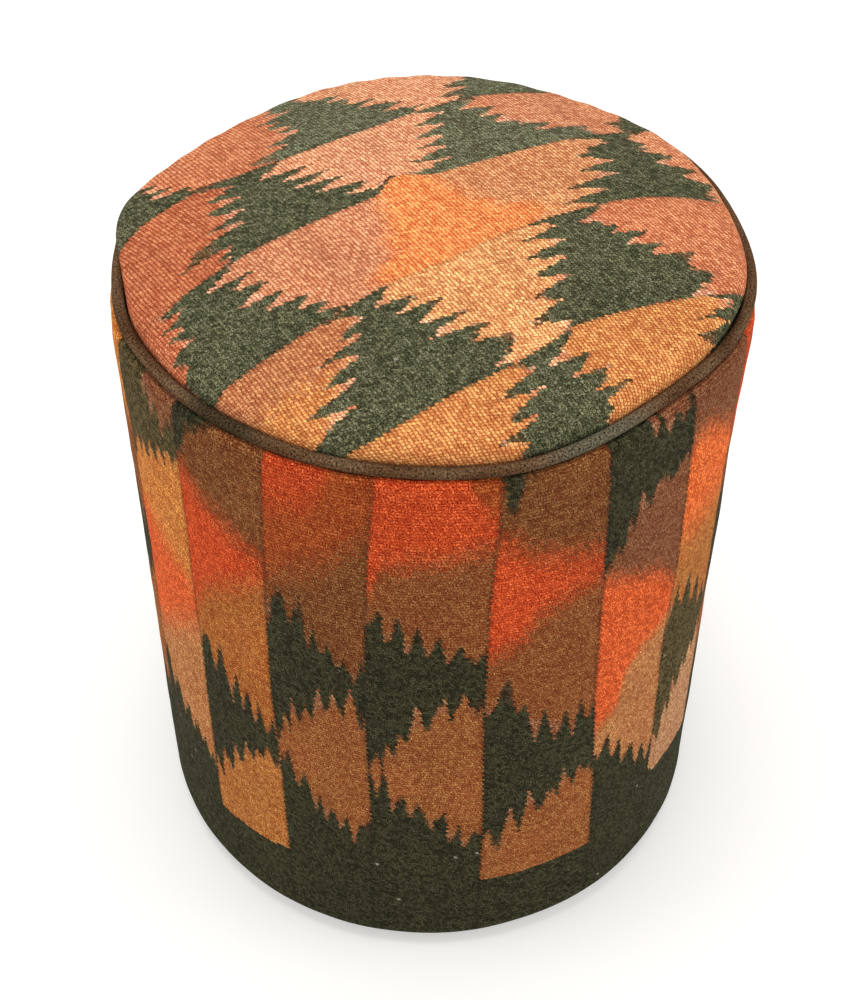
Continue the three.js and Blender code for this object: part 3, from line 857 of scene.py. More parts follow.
def cotton():
    g = Material("cotton_cord")
    _, (u, v, _) = g.place("cloth")
    ply = (u + v * 0.8).zigzag(1.2)
    fuzz = g.noise(g.vector(u, v), 0.9, 4.0)
    # Painted shade in the grooves between the plies and a painted highlight on their crowns
    colour = g.mix(ply * 2.0, linear(168, 154, 122), linear(222, 212, 186))
    colour = g.mix(fuzz * 0.4, colour, linear(196, 182, 150))
    return g.finish(colour, 0.9, ply + fuzz * 0.4, 0.0003)


def foam_look():
    g = Material("foam")
    place, _ = g.place()
    pores = g.value("ShaderNodeTexVoronoi", {"Vector": place, "Scale": 0.9}, "Distance")
    stain = g.noise(place, 0.02, 3.0)
    colour = g.ramp(stain, [(0.3, linear(226, 212, 160)), (0.7, linear(240, 230, 190))])[0]
    # The pores are darkened: painted shade in them
    colour = g.mix(g.span(pores, 0.05, 0.4, 0.5, 0), colour, linear(168, 148, 98))
    return g.finish(colour, 0.95, pores, 0.0006)


def wood(name, dark, light, ring_scale, stretch, plies=False):
    """Long grain along the object's Z or, for a board, along X; plies shows the layers at its edge."""
    g = Material(name)
    place, (x, y, z) = g.place()
    wobble = g.noise(place, 0.008, 3.0)
    grain = g.vector(x * stretch, y, z * 0.2) if plies else g.vector(x, y, z * stretch)
    rings = g.noise(grain, ring_scale, 5.0, 0.6)
    wave = g.math("SINE", (rings + wobble) * 34.0)
    pores = g.noise(grain, ring_scale * 12, 2.0)
    colour = g.mix(g.span(wave, -1, 1), dark, light)
    colour = g.mix(g.span(pores, 0.6, 0.75, 0, 0.4), colour, dark)
    if plies:
        normal = g.value("ShaderNodeNewGeometry", output="Normal")
        facing = g.values("ShaderNodeSeparateXYZ", {0: normal})[2]
        edge = g.span(abs(facing), 0.2, 0.6, 1, 0)
        colour = g.mix(z.zigzag(3.0).over(0.25) * edge * 0.6, colour, tuple(c * 0.45 for c in dark))
    return g.finish(colour, 0.62, wave * 0.25 + pores * 0.5, 0.00025, Specular_IOR_Level=0.35)


def hardboard():
    g = Material("hardboard")
    place, _ = g.place()
    fibre = g.noise(place, 0.7, 5.0, 0.7)
    patch = g.noise(place, 0.015, 3.0)
    colour = g.ramp(fibre, [(0.3, linear(92, 62, 38)), (0.7, linear(136, 98, 64))])[0]
    colour = g.mix(g.span(patch, 0.35, 0.7, 0, 0.4), colour, linear(110, 82, 56))
    return g.finish(colour, g.span(fibre, 0.3, 0.7, 0.5, 0.68), fibre, 0.00012)


def zinc():
    g = Material("zinc_steel")
    place, _ = g.place()
    spangle = g.split(g.value("ShaderNodeTexVoronoi", {"Vector": place, "Scale": 1.1}, "Color"))[0]
    dull = g.noise(place, 0.5, 4.0)
    colour = g.mix(spangle, (0.52, 0.54, 0.57), (0.68, 0.69, 0.7))
    colour = g.mix(g.span(dull, 0.55, 0.75, 0, 0.5), colour, (0.34, 0.33, 0.31))
    return g.finish(colour, g.span(dull, 0.3, 0.7, 0.25, 0.5), dull, 0.00005, Metallic=1.0)


def lining_cloth():
    """Black non-woven lining with its grid of pressed points."""
    g = Material("black_cloth")
    place, (x, y, _) = g.place()
    dots = x.zigzag(1.4) * y.zigzag(1.4)
    fibre = g.noise(place, 1.4, 4.0, 0.7)
    colour = g.ramp(fibre, [(0.3, linear(24, 24, 26)), (0.7, linear(46, 46, 48))])[0]
    colour = g.mix(g.span(dots, 0.12, 0.22, 0, 0.5), colour, linear(16, 16, 18))
    return g.finish(colour, 0.9, fibre - dots * 2.0, 0.0002, Sheen_Weight=0.1)


def nylon():
    g = Material("nylon")
    place, _ = g.place()
    haze = g.noise(place, 0.25, 4.0)
    scuff = g.noise(place, 1.8, 5.0, 0.7)
    colour = g.ramp(haze, [(0.3, linear(40, 39, 37)), (0.7, linear(54, 52, 49))])[0]
    colour = g.mix(g.span(scuff, 0.62, 0.8, 0, 0.4), colour, linear(92, 90, 86))
    return g.finish(colour, g.span(scuff, 0.3, 0.7, 0.38, 0.55), scuff, 0.00006)


def thread_look():
    g = Material("seam_thread")
    _, (x, _, z) = g.place()
    twist = (z + x * 1.5).zigzag(0.5)
    # Painted shade in the grooves between the plies and a painted highlight on their crowns
    colour = g.mix(twist * 2.0, linear(40, 36, 28), linear(70, 64, 50))
    return g.finish(colour, 0.8, twist, 0.0001)


# Meshes

def make_mesh(name, points, faces, uvs=None, smooth=True):
    """uvs holds one pair for each corner of each face, in the cloth's millimetres."""
    mesh = bpy.data.meshes.new(name)
    mesh.from_pydata(points, [], faces)
    if uvs:
        layer = mesh.uv_layers.new(name="cloth")
        layer.data.foreach_set("uv", [value for pair in uvs for value in pair])
    if smooth:
        mesh.polygons.foreach_set("use_smooth", [True] * len(mesh.polygons))
    mesh.update()
    made = bpy.data.objects.new(name, mesh)
    bpy.context.collection.objects.link(made)
    return made


def dress(piece, material, slot, *nodes):
    """Gives a piece its material and its place in the frame."""
    piece.data.materials.clear()
    piece.data.materials.append(material)
    if nodes:
        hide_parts(*nodes)
    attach(piece, "root")
    return piece


def disc_sheet(piece):
    """Hands the piece back as it is."""
    return piece


def arc(centre, height, radius, start, end, steps):
    """Points of an arc in the (radius, height) plane, angles in degrees from straight out."""
    out = []
    for i in range(steps + 1):
        angle = math.radians(start + (end - start) * i / steps)
        out.append((centre + radius * math.cos(angle), height + radius * math.sin(angle)))
    return out


def line(a, b, steps):
    """Points from a up to but not at b."""
    return [(a[0] + (b[0] - a[0]) * i / steps, a[1] + (b[1] - a[1]) * i / steps) for i in range(steps)]


def bell(x, middle, width):
    return math.exp(-((x - middle) / width) ** 2)


# The rim isn't quite round: dents and bulges as (degrees right of the front, millimetres, width in degrees)
RIM_SHAPE = [(43, -5.2, 17), (15, 1.6, 10), (80, 4.2, 20), (121, 4.6, 18), (-137, -4.6, 16), (-106, 3.4, 11),
             (-70, 1.8, 10), (178, 1.4, 20), (-34, -1, 10), (150, -1, 10)]
# In the same way, where the seat swells out over the piping, where the piping stands out,
# and where the side cover is drawn in under it
SEAT_SHAPE = [(86, 2.4, 24), (-97, 9.4, 12)]
PIPING_SHAPE = [(86, 1.2, 24), (-88, 1.2, 20)]
TUCK_SHAPE = [(88, -2.6, 14), (-88, -2.2, 13)]
TUCK_REACH = 12
OVERHANG_FROM = 453.2
OVERHANG_FULL = 457.5
RIM_FADE_FROM = 330


def round_the_rim(shape, angle):
    """The sum of a shape's dents and bulges at an angle."""
    degrees = (math.degrees(angle) + 90 + 180) % 360 - 180
    return sum(size * bell((degrees - middle + 180) % 360 - 180, 0, width) for middle, size, width in shape)


def rim_shift(angle, height):
    """How far a soft piece lies outside the true round, in millimetres."""
    fade = min(1, max(0, (height - RIM_FADE_FROM) / (PIPING_HEIGHT - RIM_FADE_FROM))) ** 2
    return round_the_rim(RIM_SHAPE, angle) * fade


def tuck(angle, share, height):
    """How far a layer at the fold is drawn in; share is 0 at the fold's inner face and 1 at its outer one."""
    return round_the_rim(TUCK_SHAPE, angle) * share * bell(max(0, FOLD_HEIGHT - height), 0, TUCK_REACH)


def ring_noise(angle, radius, height):
    """Noise of -1 to 1 at a place on a round; its lumps are about 1 long."""
    return noise.noise(Vector((math.cos(angle) * radius, math.sin(angle) * radius, height)))


def swell(angle, height, seed, size, scale):
    """Soft noise on the drum's wall, in millimetres."""
    return size * ring_noise(angle, COVER_RADIUS / scale, height / scale + seed)


def from_back(angle):
    """The distance round the drum from the seam at its back, in millimetres."""
    return abs((angle - math.pi / 2 + math.pi) % (2 * math.pi) - math.pi) * COVER_RADIUS


def ring_angles(count, seam=None):
    """Angles of the columns round the drum, from the back, closer together at the seam there."""
    start = math.pi / 2
    angles = [start + 2 * math.pi * i / count for i in range(count)]
    if seam:
        for offset in seam:
            angles += [start + offset / COVER_RADIUS, start + 2 * math.pi - offset / COVER_RADIUS]
    return sorted(angles)


def turned(name, profile, angles, shape, closed=False, cloth=None, capped=False):
    """A surface of revolution. profile is (radius, height, along) rows; shape moves a point by its angle.

    The faces look to the right of the profile's direction. capped fills the first and the last ring."""
    rows, columns = len(profile), len(angles)
    points = []
    for radius, height, along in profile:
        for angle in angles:
            r, z = shape(angle, radius, height, along)
            points.append((r * math.cos(angle) * MM, r * math.sin(angle) * MM, z * MM))
    faces, uvs = [], []
    for i in range(rows if closed else rows - 1):
        j = (i + 1) % rows
        for k in range(columns):
            m = (k + 1) % columns
            faces.append((i * columns + k, i * columns + m, j * columns + m, j * columns + k))
            if cloth:
                a0 = angles[k]
                a1 = angles[m] + (2 * math.pi if m == 0 else 0)
                u0 = profile[i][2]
                u1 = profile[j][2] if j else 2 * profile[-1][2] - profile[-2][2]
                uvs += [cloth(u0, a0), cloth(u0, a1), cloth(u1, a1), cloth(u1, a0)]
    if capped:
        faces.append(tuple(reversed(range(columns))))
        faces.append(tuple(range(len(points) - columns, len(points))))
    return make_mesh(name, points, faces, uvs)


def with_length(path, zero_at=None, base=0.0):
    """Adds the distance along the path; it reads base at the point numbered zero_at."""
    out, run = [], 0.0
    for i, point in enumerate(path):
        if i:
            run += math.dist(point, path[i - 1])
        out.append([*point, run])
    offset = base - (out[zero_at][2] if zero_at is not None else 0)
    return [(r, z, along + offset) for r, z, along in out]


def thicken(piece, thickness):
    """The far side of a cloth, inwards from the face that shows."""
    made = piece.modifiers.new("thickness", "SOLIDIFY")
    made.thickness = thickness * MM
    made.offset = -1
    made.use_rim = True
    return piece


# Side cover

WALL_STEP = 4.4
SIDE_COLUMNS = 276
BACK_SEAM_COLUMNS = (0.6, 1.3, 2.2, 3.2)
# Slack in the wall: the seed, height and length of two sizes of lumps
WALL_LUMPS = [(3.0, 0.9, 70), (9.0, 0.35, 22)]
PUCKERS = 37
PUCKER = 0.45
PUCKER_REACH = 16
SEAM_DIP = 1.3
SEAM_DIP_WIDTH = 1.1
STITCH_SIDES = 6
STITCH_STEPS = 6
STITCH_PITCH = 7.5
STITCH_REACH = 2.3
STITCH_RISE = 1.4
THREAD_RADIUS = 0.42


def wall_profile():
    """From the hem's cut edge out to the corner, up the wall, over the fold and down into the seam."""
    corner = (COVER_RADIUS - CORNER_RADIUS, HEM_HEIGHT + CORNER_RADIUS)
    path = line((HEM_INNER, HEM_HEIGHT), (corner[0], HEM_HEIGHT), 6)
    path += arc(*corner, CORNER_RADIUS, -90, 0, 9)
    foot = len(path) - 1
    steps = round((FOLD_HEIGHT - corner[1]) / WALL_STEP)
    path += line((COVER_RADIUS, corner[1]), (COVER_RADIUS, FOLD_HEIGHT), steps)[1:]
    path += arc(COVER_RADIUS - FOLD_RADIUS, FOLD_HEIGHT, FOLD_RADIUS, 0, 180, 6)
    inner = COVER_RADIUS - 2 * FOLD_RADIUS
    path += line((inner, FOLD_HEIGHT), (inner, SEAM_END), 3)[1:]
    path.append((inner, SEAM_END))
    return with_length(path, foot, corner[1])


def wall_shape(angle, radius, height, along):
    """Puckers under the piping, slack in the wall, and the seam at the back."""
    inner = COVER_RADIUS - 2 * FOLD_RADIUS
    shift = rim_shift(angle, height) + tuck(angle, max(0, radius - inner) / (2 * FOLD_RADIUS), height)
    near_rim = bell(min(height, FOLD_HEIGHT), FOLD_HEIGHT, PUCKER_REACH)
    shift += near_rim * (PUCKER * math.sin(PUCKERS * angle + 1.4 * math.sin(5 * angle)) - 0.5)
    if radius > 180 and HEM_HEIGHT + 2 < height < FOLD_HEIGHT:
        shift += sum(swell(angle, height, *lumps) for lumps in WALL_LUMPS)
        shift -= SEAM_DIP * bell(from_back(angle), 0, SEAM_DIP_WIDTH)
    return radius + shift, height


def make_side_cover(material):
    def cloth(along, angle):
        around = (angle - 1.5 * math.pi) * COVER_RADIUS
        return side_cloth_place(around, along)

    profile = wall_profile()
    angles = ring_angles(SIDE_COLUMNS, BACK_SEAM_COLUMNS)
    piece = turned("kilim_side", profile, angles, wall_shape, cloth=cloth)
    thicken(piece, COVER_THICKNESS - 0.3)
    dress(piece, material, "kilim_side", "side_cover")
    length = (profile[-1][2] - profile[0][2]) * MM
    return piece


def make_back_seam(material):
    """Slanted hand stitches that close the side cover's seam at the back."""
    points, faces = [], []
    height = 26.0
    while height < 436:
        base = len(points)
        for i in range(STITCH_STEPS + 1):
            share = i / STITCH_STEPS
            bow = 2 * share - 1
            out = COVER_RADIUS + 0.9 * (1 - bow ** 4) - 0.75 + rim_shift(math.pi / 2, height)
            centre = Vector((STITCH_REACH * bow, out, height + STITCH_RISE * share))
            for k in range(STITCH_SIDES):
                turn = 2 * math.pi * k / STITCH_SIDES
                points.append((centre + THREAD_RADIUS * Vector((0, math.cos(turn), math.sin(turn)))) * MM)
        for i in range(STITCH_STEPS):
            low = base + i * STITCH_SIDES
            high = low + STITCH_SIDES
            for k in range(STITCH_SIDES):
                m = (k + 1) % STITCH_SIDES
                faces.append((low + k, high + k, high + m, low + m))
        faces.append(tuple(range(base, base + STITCH_SIDES)))
        faces.append(tuple(reversed(range(len(points) - STITCH_SIDES, len(points)))))
        height += STITCH_PITCH
    piece = make_mesh("back_seam_thread", points, faces)
    return dress(piece, material, "piping_cloth")


# Top cover

DISC_STEPS = 42
TOP_PUCKERS = 41
TOP_PUCKER = 0.4
TOP_PUCKER_PLACE = (171, 8)
TOP_SAG = 1.4
TOP_SAG_LENGTH = 75
TOP_HOLLOW = 0.9


def crown_height(radius):
    return CROWN_EDGE_HEIGHT + (STOOL_HEIGHT - CROWN_EDGE_HEIGHT) * (1 - (radius / CROWN_EDGE) ** CROWN_POWER)


def top_rings():
    """Past the crown's edge: over the shoulder and down into the seam, as (radius, height)."""
    centre = TURN_RADIUS - SHOULDER_RADIUS
    start = math.degrees(math.atan2(CROWN_EDGE_HEIGHT - SHOULDER_HEIGHT, CROWN_EDGE - centre))
    path = arc(centre, SHOULDER_HEIGHT, SHOULDER_RADIUS, start, 0, 5)[1:]
    path += line((TURN_RADIUS, SHOULDER_HEIGHT), (TURN_RADIUS, SEAM_END), 5)[1:]
    return path + [(TURN_RADIUS, SEAM_END)]


def top_shape(angle, radius, height):
    """The seat's own unevenness: the rim's shape, puckers at the shoulder and a slightly hollowed crown."""
    share = min(1, radius / TURN_RADIUS)
    over = min(1, max(0, (height - OVERHANG_FROM) / (OVERHANG_FULL - OVERHANG_FROM)))
    outward = rim_shift(angle, PIPING_HEIGHT) * share ** 3
    outward += round_the_rim(SEAT_SHAPE, angle) * share ** 4 * over * over * (3 - 2 * over)
    wave = math.sin(TOP_PUCKERS * angle + 1.2 * math.sin(7 * angle))
    pucker = TOP_PUCKER * bell(radius, *TOP_PUCKER_PLACE) * wave
    sag = TOP_SAG * ring_noise(angle, radius / TOP_SAG_LENGTH, 5.0) - TOP_HOLLOW
    return radius + outward, height + pucker + sag * (1 - share ** 6)


def square_to_disc(i, j):
    """A square grid's corner as (share of the radius, angle) on a disc of even quads."""
    if i == 0 and j == 0:
        return 0.0, 0.0
    if abs(i) >= abs(j):
        ring, angle = i, math.pi / 4 * j / i
    else:
        ring, angle = j, math.pi / 2 - math.pi / 4 * i / j
    if ring < 0:
        ring, angle = -ring, angle + math.pi
    return ring / DISC_STEPS, angle


def top_point(angle, radius, height):
    r, z = top_shape(angle, radius, height)
    return (r * math.cos(angle) * MM, r * math.sin(angle) * MM, z * MM)


def disc_grid():
    """The crown's points and faces, and the numbers of its edge points in order."""
    steps = range(-DISC_STEPS, DISC_STEPS + 1)
    index, points, plan = {}, [], []
    for j in steps:
        for i in steps:
            share, angle = square_to_disc(i, j)
            index[i, j] = len(points)
            radius = share * CROWN_EDGE
            points.append(top_point(angle, radius, crown_height(radius)))
            plan.append((radius * math.cos(angle), radius * math.sin(angle)))
    faces = []
    for j in steps[:-1]:
        for i in steps[:-1]:
            faces.append((index[i, j], index[i + 1, j], index[i + 1, j + 1], index[i, j + 1]))
    n = DISC_STEPS
    walk = [(n, j) for j in range(-n, n)] + [(i, n) for i in range(n, -n, -1)]
    walk += [(-n, j) for j in range(n, -n, -1)] + [(i, -n) for i in range(-n, n)]
    return points, plan, faces, [(index[at], square_to_disc(*at)[1]) for at in walk]


def make_top_cover(material):
    points, plan, faces, edge = disc_grid()
    ring = [number for number, _ in edge]
    pinned = []
    run = 0.0
    last = (CROWN_EDGE, CROWN_EDGE_HEIGHT)
    for radius, height in top_rings():
        run += math.dist(last, (radius, height))
        last = (radius, height)
        new = []
        for _, angle in edge:
            new.append(len(points))
            points.append(top_point(angle, radius, height))
            flat = CROWN_EDGE + run
            plan.append((flat * math.cos(angle), flat * math.sin(angle)))
        for k in range(len(ring)):
            m = (k + 1) % len(ring)
            faces.append((ring[k], new[k], new[m], ring[m]))
        pinned += new
        ring = new
    uvs = [top_cloth_place(*plan[corner]) for face in faces for corner in face]
    piece = make_mesh("kilim_top", points, faces, uvs)
    stretch_over_pad(piece, pinned)
    thicken(piece, COVER_THICKNESS - 0.3)
    dress(piece, material, "kilim_top", "top_cover")
    return disc_sheet(piece)


SIM_FRAMES = 20
SIM_CAP = 1.6
SIM_SETTINGS = {
    "vertex_group_mass": "pinned",
    "quality": 6,
    "mass": 0.4,
    "tension_stiffness": 40,
    "compression_stiffness": 40,
    "bending_stiffness": 2,
    "use_pressure": True,
    "uniform_pressure_force": 3.0,
}


def stretch_over_pad(piece, pinned):
    """Cloth simulation: the pad presses the cover out inside its pinned edge, by at most SIM_CAP."""
    group = piece.vertex_groups.new(name="pinned")
    group.add(pinned, 1.0, "REPLACE")
    cloth = piece.modifiers.new("cloth", "CLOTH")
    for key, value in SIM_SETTINGS.items():
        setattr(cloth.settings, key, value)
    cloth.settings.effector_weights.gravity = 0
    cloth.collision_settings.use_collision = False
    cloth.point_cache.frame_start = 1
    cloth.point_cache.frame_end = SIM_FRAMES
    scene = bpy.context.scene
    for step in range(1, SIM_FRAMES + 1):
        scene.frame_set(step)
    done = piece.evaluated_get(bpy.context.evaluated_depsgraph_get()).data
    moved = [v.co.copy() for v in done.vertices]
    piece.modifiers.remove(cloth)
    cap = SIM_CAP * MM
    for vertex, place in zip(piece.data.vertices, moved):
        step = place - vertex.co
        if step.length > cap:
            step *= cap / step.length
        vertex.co += step
    piece.vertex_groups.clear()
    scene.frame_set(1)
    piece.data.update()


# Piping

PIPING_COLUMNS = 300
STRIP_THICKNESS = 0.8
TAIL_OUT = PIPING_RADIUS - 1.6
TAIL_IN = PIPING_RADIUS - 3.5
TAIL_TOP = PIPING_HEIGHT - 8
CORD_RADIUS = 2.05
CORD_STRANDS = 3
CORD_TWISTS = 24
CORD_SIDES = 18
CORD_COLUMNS = 600


def piping_profile():
    """A strip folded round the cord: up one tail, round and down the other, then back along its inside."""
    outer = PIPING_SECTION
    inner = outer - STRIP_THICKNESS
    start = math.degrees(math.acos((TAIL_OUT - PIPING_RADIUS) / outer))
    end = math.degrees(math.acos((TAIL_OUT - STRIP_THICKNESS - PIPING_RADIUS) / inner))
    path = [(TAIL_OUT, SEAM_END), (TAIL_OUT, TAIL_TOP)]
    path += arc(PIPING_RADIUS, PIPING_HEIGHT, outer, -start, 180, 18)
    path += [(TAIL_IN, TAIL_TOP), (TAIL_IN, SEAM_END)]
    path += [(TAIL_IN + STRIP_THICKNESS, SEAM_END), (TAIL_IN + STRIP_THICKNESS, TAIL_TOP)]
    path += arc(PIPING_RADIUS, PIPING_HEIGHT, inner, 180, -end, 12)
    path += [(TAIL_OUT - STRIP_THICKNESS, TAIL_TOP), (TAIL_OUT - STRIP_THICKNESS, SEAM_END)]
    return with_length(path)


def ring_shift(angle):
    """How far the piping's round part lies out and up from the true ring."""
    out = round_the_rim(PIPING_SHAPE, angle)
    lift = 0.25 * out + 0.35 * ring_noise(angle, 4, 8.0)
    return rim_shift(angle, PIPING_HEIGHT) + out, lift


def piping_shape(angle, radius, height, along):
    above = height - PIPING_HEIGHT
    out = radius - PIPING_RADIUS
    if above < -PIPING_SECTION:
        return radius + rim_shift(angle, PIPING_HEIGHT), height
    shift, lift = ring_shift(angle)
    slack = 0.035 * ring_noise(angle, 9, 1.0)
    crease = 0.03 * math.sin(70 * angle + math.atan2(above, out) * 1.5)
    grow = 1 + slack + crease * ring_noise(angle, 6, 4.0)
    return PIPING_RADIUS + out * grow + shift, PIPING_HEIGHT + above * grow + lift


def ring_cloth(along, angle):
    """A place on a strip round the ring, in the strip's millimetres."""
    return along, angle * PIPING_RADIUS


def make_piping(material):
    profile = piping_profile()
    piece = turned("piping_strip", profile, ring_angles(PIPING_COLUMNS), piping_shape, True, ring_cloth)
    dress(piece, material, "piping_cloth", "piping_cover")
    profile[-1][2] / 2 * MM
    return piece


def make_cord(material):
    """Three strands twisted together inside the piping."""
    turns = [2 * math.pi * i / CORD_SIDES for i in range(CORD_SIDES)]
    profile = [(PIPING_RADIUS + CORD_RADIUS * math.cos(turn), PIPING_HEIGHT + CORD_RADIUS * math.sin(turn))
               for turn in turns]

    def shape(angle, r, z, along):
        round_it = math.atan2(z - PIPING_HEIGHT, r - PIPING_RADIUS)
        grow = 1 + 0.12 * math.cos(CORD_STRANDS * (round_it + CORD_TWISTS * angle))
        shift, lift = ring_shift(angle)
        return (PIPING_RADIUS + shift + (r - PIPING_RADIUS) * grow,
                PIPING_HEIGHT + lift + (z - PIPING_HEIGHT) * grow)

    piece = turned("twisted_cord", with_length(profile), ring_angles(CORD_COLUMNS), shape, True, ring_cloth)
    return dress(piece, material, "cotton_cord", "piping_cord")


# Foam

WADDING_INNER = 177.9
WADDING_LIP_BOTTOM = 429.3
FOAM_GAP = 0.5
PAD_STEPS = 20
PAD_COLUMNS = 96


def make_seat_pad(material):
    inset = COVER_THICKNESS + 0.4
    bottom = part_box("seat_foam")[0].z / MM
    path = [(0.5, bottom)] + line((6, bottom), (TURN_RADIUS - inset - 1.5, bottom), PAD_STEPS)
    path.append((TURN_RADIUS - inset, bottom + 1.5))
    centre = TURN_RADIUS - SHOULDER_RADIUS
    path += arc(centre, SHOULDER_HEIGHT, SHOULDER_RADIUS - inset, 0, 70, 4)
    for i in range(1, PAD_STEPS + 1):
        radius = max(0.5, (CROWN_EDGE - 2) * (1 - i / PAD_STEPS))
        path.append((radius, crown_height(radius) - inset - 2.2))

    def shape(angle, radius, height, along):
        if height < bottom + 1:
            return radius, height
        r, z = top_shape(angle, radius, height)
        return r, z - 0.3 * abs(ring_noise(angle, r / 14, 0))

    piece = turned("seat_pad", with_length(path), ring_angles(PAD_COLUMNS), shape, capped=True)
    dress(piece, material, "foam", "seat_foam")
    return piece


def make_wall_wadding(material):
    """Padding up the wall, folded in over the drum skin under the side cover's round fold."""
    inner, lip_bottom = WADDING_INNER, WADDING_LIP_BOTTOM
    outer = COVER_RADIUS - COVER_THICKNESS - FOAM_GAP
    corner = (COVER_RADIUS - CORNER_RADIUS, HEM_HEIGHT + CORNER_RADIUS)
    radius = outer - corner[0]
    start = -math.degrees(math.acos((inner - corner[0]) / radius))
    path = arc(*corner, radius, start, 0, 7)
    path += line((outer, corner[1]), (outer, FOLD_HEIGHT), 40)[1:]
    fold = COVER_RADIUS - FOLD_RADIUS
    path += arc(fold, FOLD_HEIGHT, outer - fold, 0, 180, 8)
    lip = 2 * fold - outer
    path += line((lip, FOLD_HEIGHT), (lip, lip_bottom), 3)[1:] + [(lip, lip_bottom)]
    path += line((inner, lip_bottom), (inner, corner[1]), 40)

    def shape(angle, r, z, along):
        if r < inner + 1:
            return r, z
        share = max(0, r - lip) / (outer - lip) if z > lip_bottom - 1 else 1
        shift = rim_shift(angle, z) + tuck(angle, share, z)
        slack = bell(max(0, FOLD_HEIGHT - z), 0, PUCKER_REACH) + abs(swell(angle, z, 20.0, 1.0, 30))
        return r + shift - share * (0.6 * slack + 0.9 * bell(from_back(angle), 0, 9)), z

    piece = turned("wall_wadding", with_length(path), ring_angles(144), shape, closed=True)
    dress(piece, material, "foam", "side_foam")
    return piece


# Lining under the base

def make_lining(material):
    low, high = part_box("dust_cover")
    radius = high.x / MM
    bottom, top = low.z / MM, high.z / MM
    steps = 34
    path = line((radius, top), (0.4, top), steps) + [(0.4, top), (0.4, bottom)]
    path += line((0.4, bottom), (radius, bottom), steps)[1:] + [(radius, bottom)]

    def shape(angle, r, z, along):
        share = r / radius
        crinkle = ring_noise(angle, r / 26, 2.0)
        staple = math.cos(12 * angle) * bell(share, 1, 0.12)
        drop = (0.55 + 0.6 * crinkle - 0.25 * staple) * (1 - share ** 8)
        ragged = 0.5 * ring_noise(angle, 9, 0) * share ** 20
        return r + ragged, z - max(0, drop)

    piece = turned("lining", with_length(list(reversed(path))), ring_angles(180), shape, closed=True)
    dress(piece, material, "black_cloth", "dust_cover")
    return disc_sheet(piece)


# Materials of the nodes that keep their shape

def dress_nodes():
    looks = {
        "plywood": wood("plywood", linear(170, 134, 88), linear(214, 182, 132), 0.05, 0.12, plies=True),
        "pine": wood("pine", linear(190, 146, 88), linear(226, 192, 136), 0.09, 0.06),
        "hardboard": hardboard(),
        "zinc_steel": zinc(),
        "nylon": nylon(),
    }
    slots = {row["node"]: row["material_slot"] for row in frame["record"]["subparts"]}
    for name, node in frame["nodes"].items():
        material = looks.get(slots[name])
        if material and not node.hide_render:
            node.data.materials.clear()
            node.data.materials.append(material)


# Stage

CAMERA_LENS = 65.45
CAMERA_TILT = 0.79124
CAMERA_ROLL = 0.00327
# The camera's place in drum radii from the middle of the floor: back, right and up in its own view
CAMERA_PLACE = (7.32827, -0.00502, 0.90961)
SENSOR = 36
WORLD_LIGHT = 0.5
WORLD_COLOUR = (1.0, 0.985, 0.96)
WHITE = (1, 1, 1)
FLOOR_SIZE = 6.0
FLOOR_COLOUR = (0.86, 0.86, 0.85)
# The floor's lift near the object, and the distances between which it goes over into white
FLOOR_LIFT = 0.3
FLOOR_WHITE_FROM = (0.7, 1.7)
LAMP_COLOUR = (1.0, 0.97, 0.92)
# Each lamp's name, place, height that it points at, size and power
LAMPS = [
    ("key", (-0.1, 0.1, 2.2), 0.4, 1.4, 20),
    ("front", (0, -2.2, 1.2), 0.25, 1.6, 14),
    ("left", (-2.2, -0.3, 0.7), 0.25, 1.4, 14),
    ("right", (2.2, -0.3, 0.7), 0.25, 1.4, 16),
]


def make_camera():
    back = Vector((0, -math.cos(CAMERA_TILT), math.sin(CAMERA_TILT)))
    right = Vector((1, 0, 0))
    up = Vector((0, math.sin(CAMERA_TILT), math.cos(CAMERA_TILT)))
    across = math.cos(CAMERA_ROLL) * right + math.sin(CAMERA_ROLL) * up
    upward = -math.sin(CAMERA_ROLL) * right + math.cos(CAMERA_ROLL) * up
    distance, sideways, raised = CAMERA_PLACE
    data = bpy.data.cameras.new("camera")
    data.lens = CAMERA_LENS
    data.sensor_fit = "VERTICAL"
    data.sensor_height = SENSOR
    data.sensor_width = SENSOR
    camera = bpy.data.objects.new("camera", data)
    place = COVER_RADIUS * MM * (distance * back + sideways * across + raised * upward)
    turn = Matrix((across, upward, back)).transposed()
    camera.matrix_world = Matrix.Translation(place) @ turn.to_4x4()
    bpy.context.collection.objects.link(camera)
    bpy.context.scene.camera = camera


def seen_directly(g):
    """1 for what the camera sees, straight or in a gloss, and 0 for light that falls on the object."""
    path = g.node("ShaderNodeLightPath").outputs
    total = Value(g, path["Is Camera Ray"])
    for name in ("Is Glossy Ray", "Is Transmission Ray"):
        total = g.math("MAXIMUM", total, Value(g, path[name]))
    return total


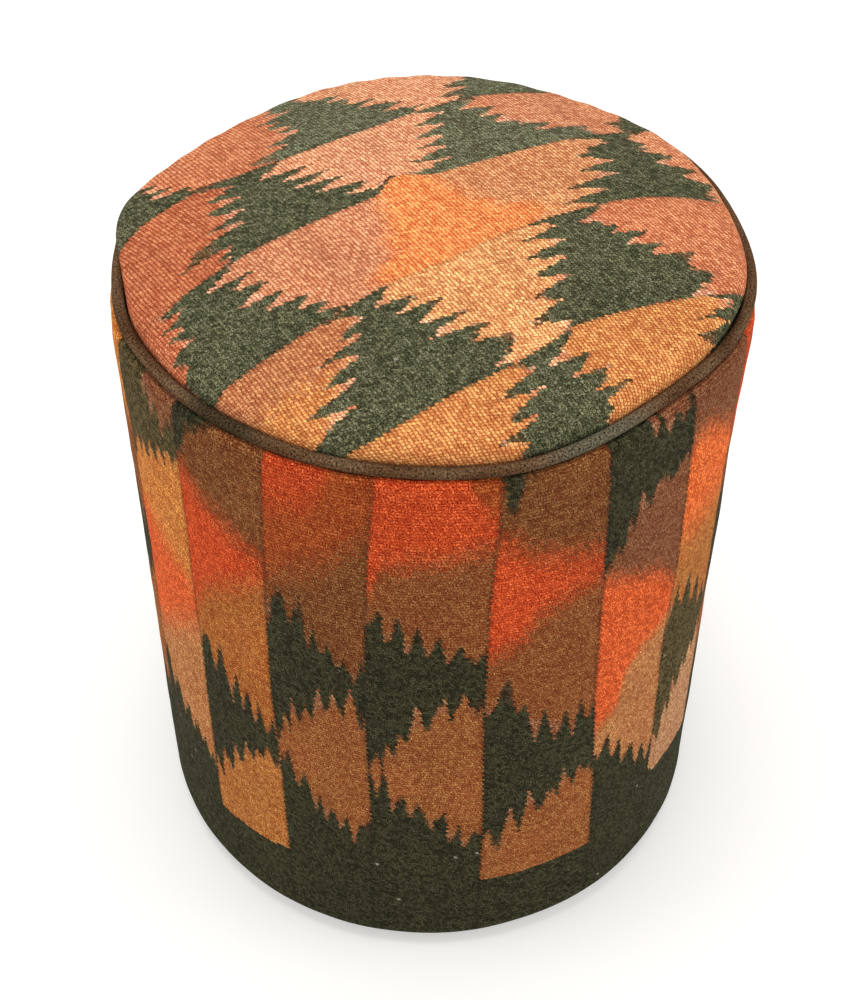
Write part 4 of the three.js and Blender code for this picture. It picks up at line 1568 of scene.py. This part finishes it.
def make_world():
    world = bpy.data.worlds.new("studio")
    bpy.context.scene.world = world
    g = Graph(world, "ShaderNodeOutputWorld")
    soft = g.value("ShaderNodeBackground", {"Color": WORLD_COLOUR, "Strength": WORLD_LIGHT})
    white = g.value("ShaderNodeBackground", {"Color": WHITE, "Strength": 1})
    g.put(g.surface, g.value("ShaderNodeMixShader", {0: seen_directly(g), 1: soft, 2: white}))


def far_lift(g):
    """The floor's lift, which grows with the distance until the floor is as white as what is behind it."""
    place = g.value("ShaderNodeTexCoord", output="Object")
    distance = g.value("ShaderNodeVectorMath", {0: place}, "Value", operation="LENGTH")
    return g.span(distance, *FLOOR_WHITE_FROM, FLOOR_LIFT, 1.0, smooth=True)


def make_floor():
    corners = [(x * FLOOR_SIZE, y * FLOOR_SIZE, 0) for x, y in ((-1, -1), (1, -1), (1, 1), (-1, 1))]
    floor = make_mesh("floor", corners, [(0, 1, 2, 3)], smooth=False)
    g = Graph(bpy.data.materials.new("floor"))
    matte = g.value("ShaderNodeBsdfDiffuse", {"Color": FLOOR_COLOUR})
    lift = g.value("ShaderNodeEmission", {"Strength": seen_directly(g) * far_lift(g)})
    g.put(g.surface, g.value("ShaderNodeAddShader", {0: matte, 1: lift}))
    floor.data.materials.append(g.owner)


def make_lamp(name, place, aim, size, power):
    data = bpy.data.lights.new(name, "AREA")
    data.shape = "DISK"
    data.size = size
    data.energy = power
    data.color = LAMP_COLOUR
    lamp = bpy.data.objects.new(name, data)
    lamp.location = place
    lamp.rotation_mode = "QUATERNION"
    lamp.rotation_quaternion = (Vector((0, 0, aim)) - Vector(place)).to_track_quat("-Z", "Y")
    bpy.context.collection.objects.link(lamp)


def make_stage():
    make_camera()
    make_world()
    make_floor()
    for lamp in LAMPS:
        make_lamp(*lamp)
    bpy.context.scene.view_settings.view_transform = "Standard"


make_stage()
make_wall_wadding(foam_look())
# the hidden seat pad wears the plain foam of the frame's own seat_foam
make_seat_pad(bpy.data.materials["foam"])
make_cord(cotton())
make_side_cover(Kilim("kilim_side", SIDE).owner)
make_top_cover(Kilim("kilim_top", TOP).owner)
make_piping(piping_cloth())
make_back_seam(thread_look())
make_lining(lining_cloth())
dress_nodes()
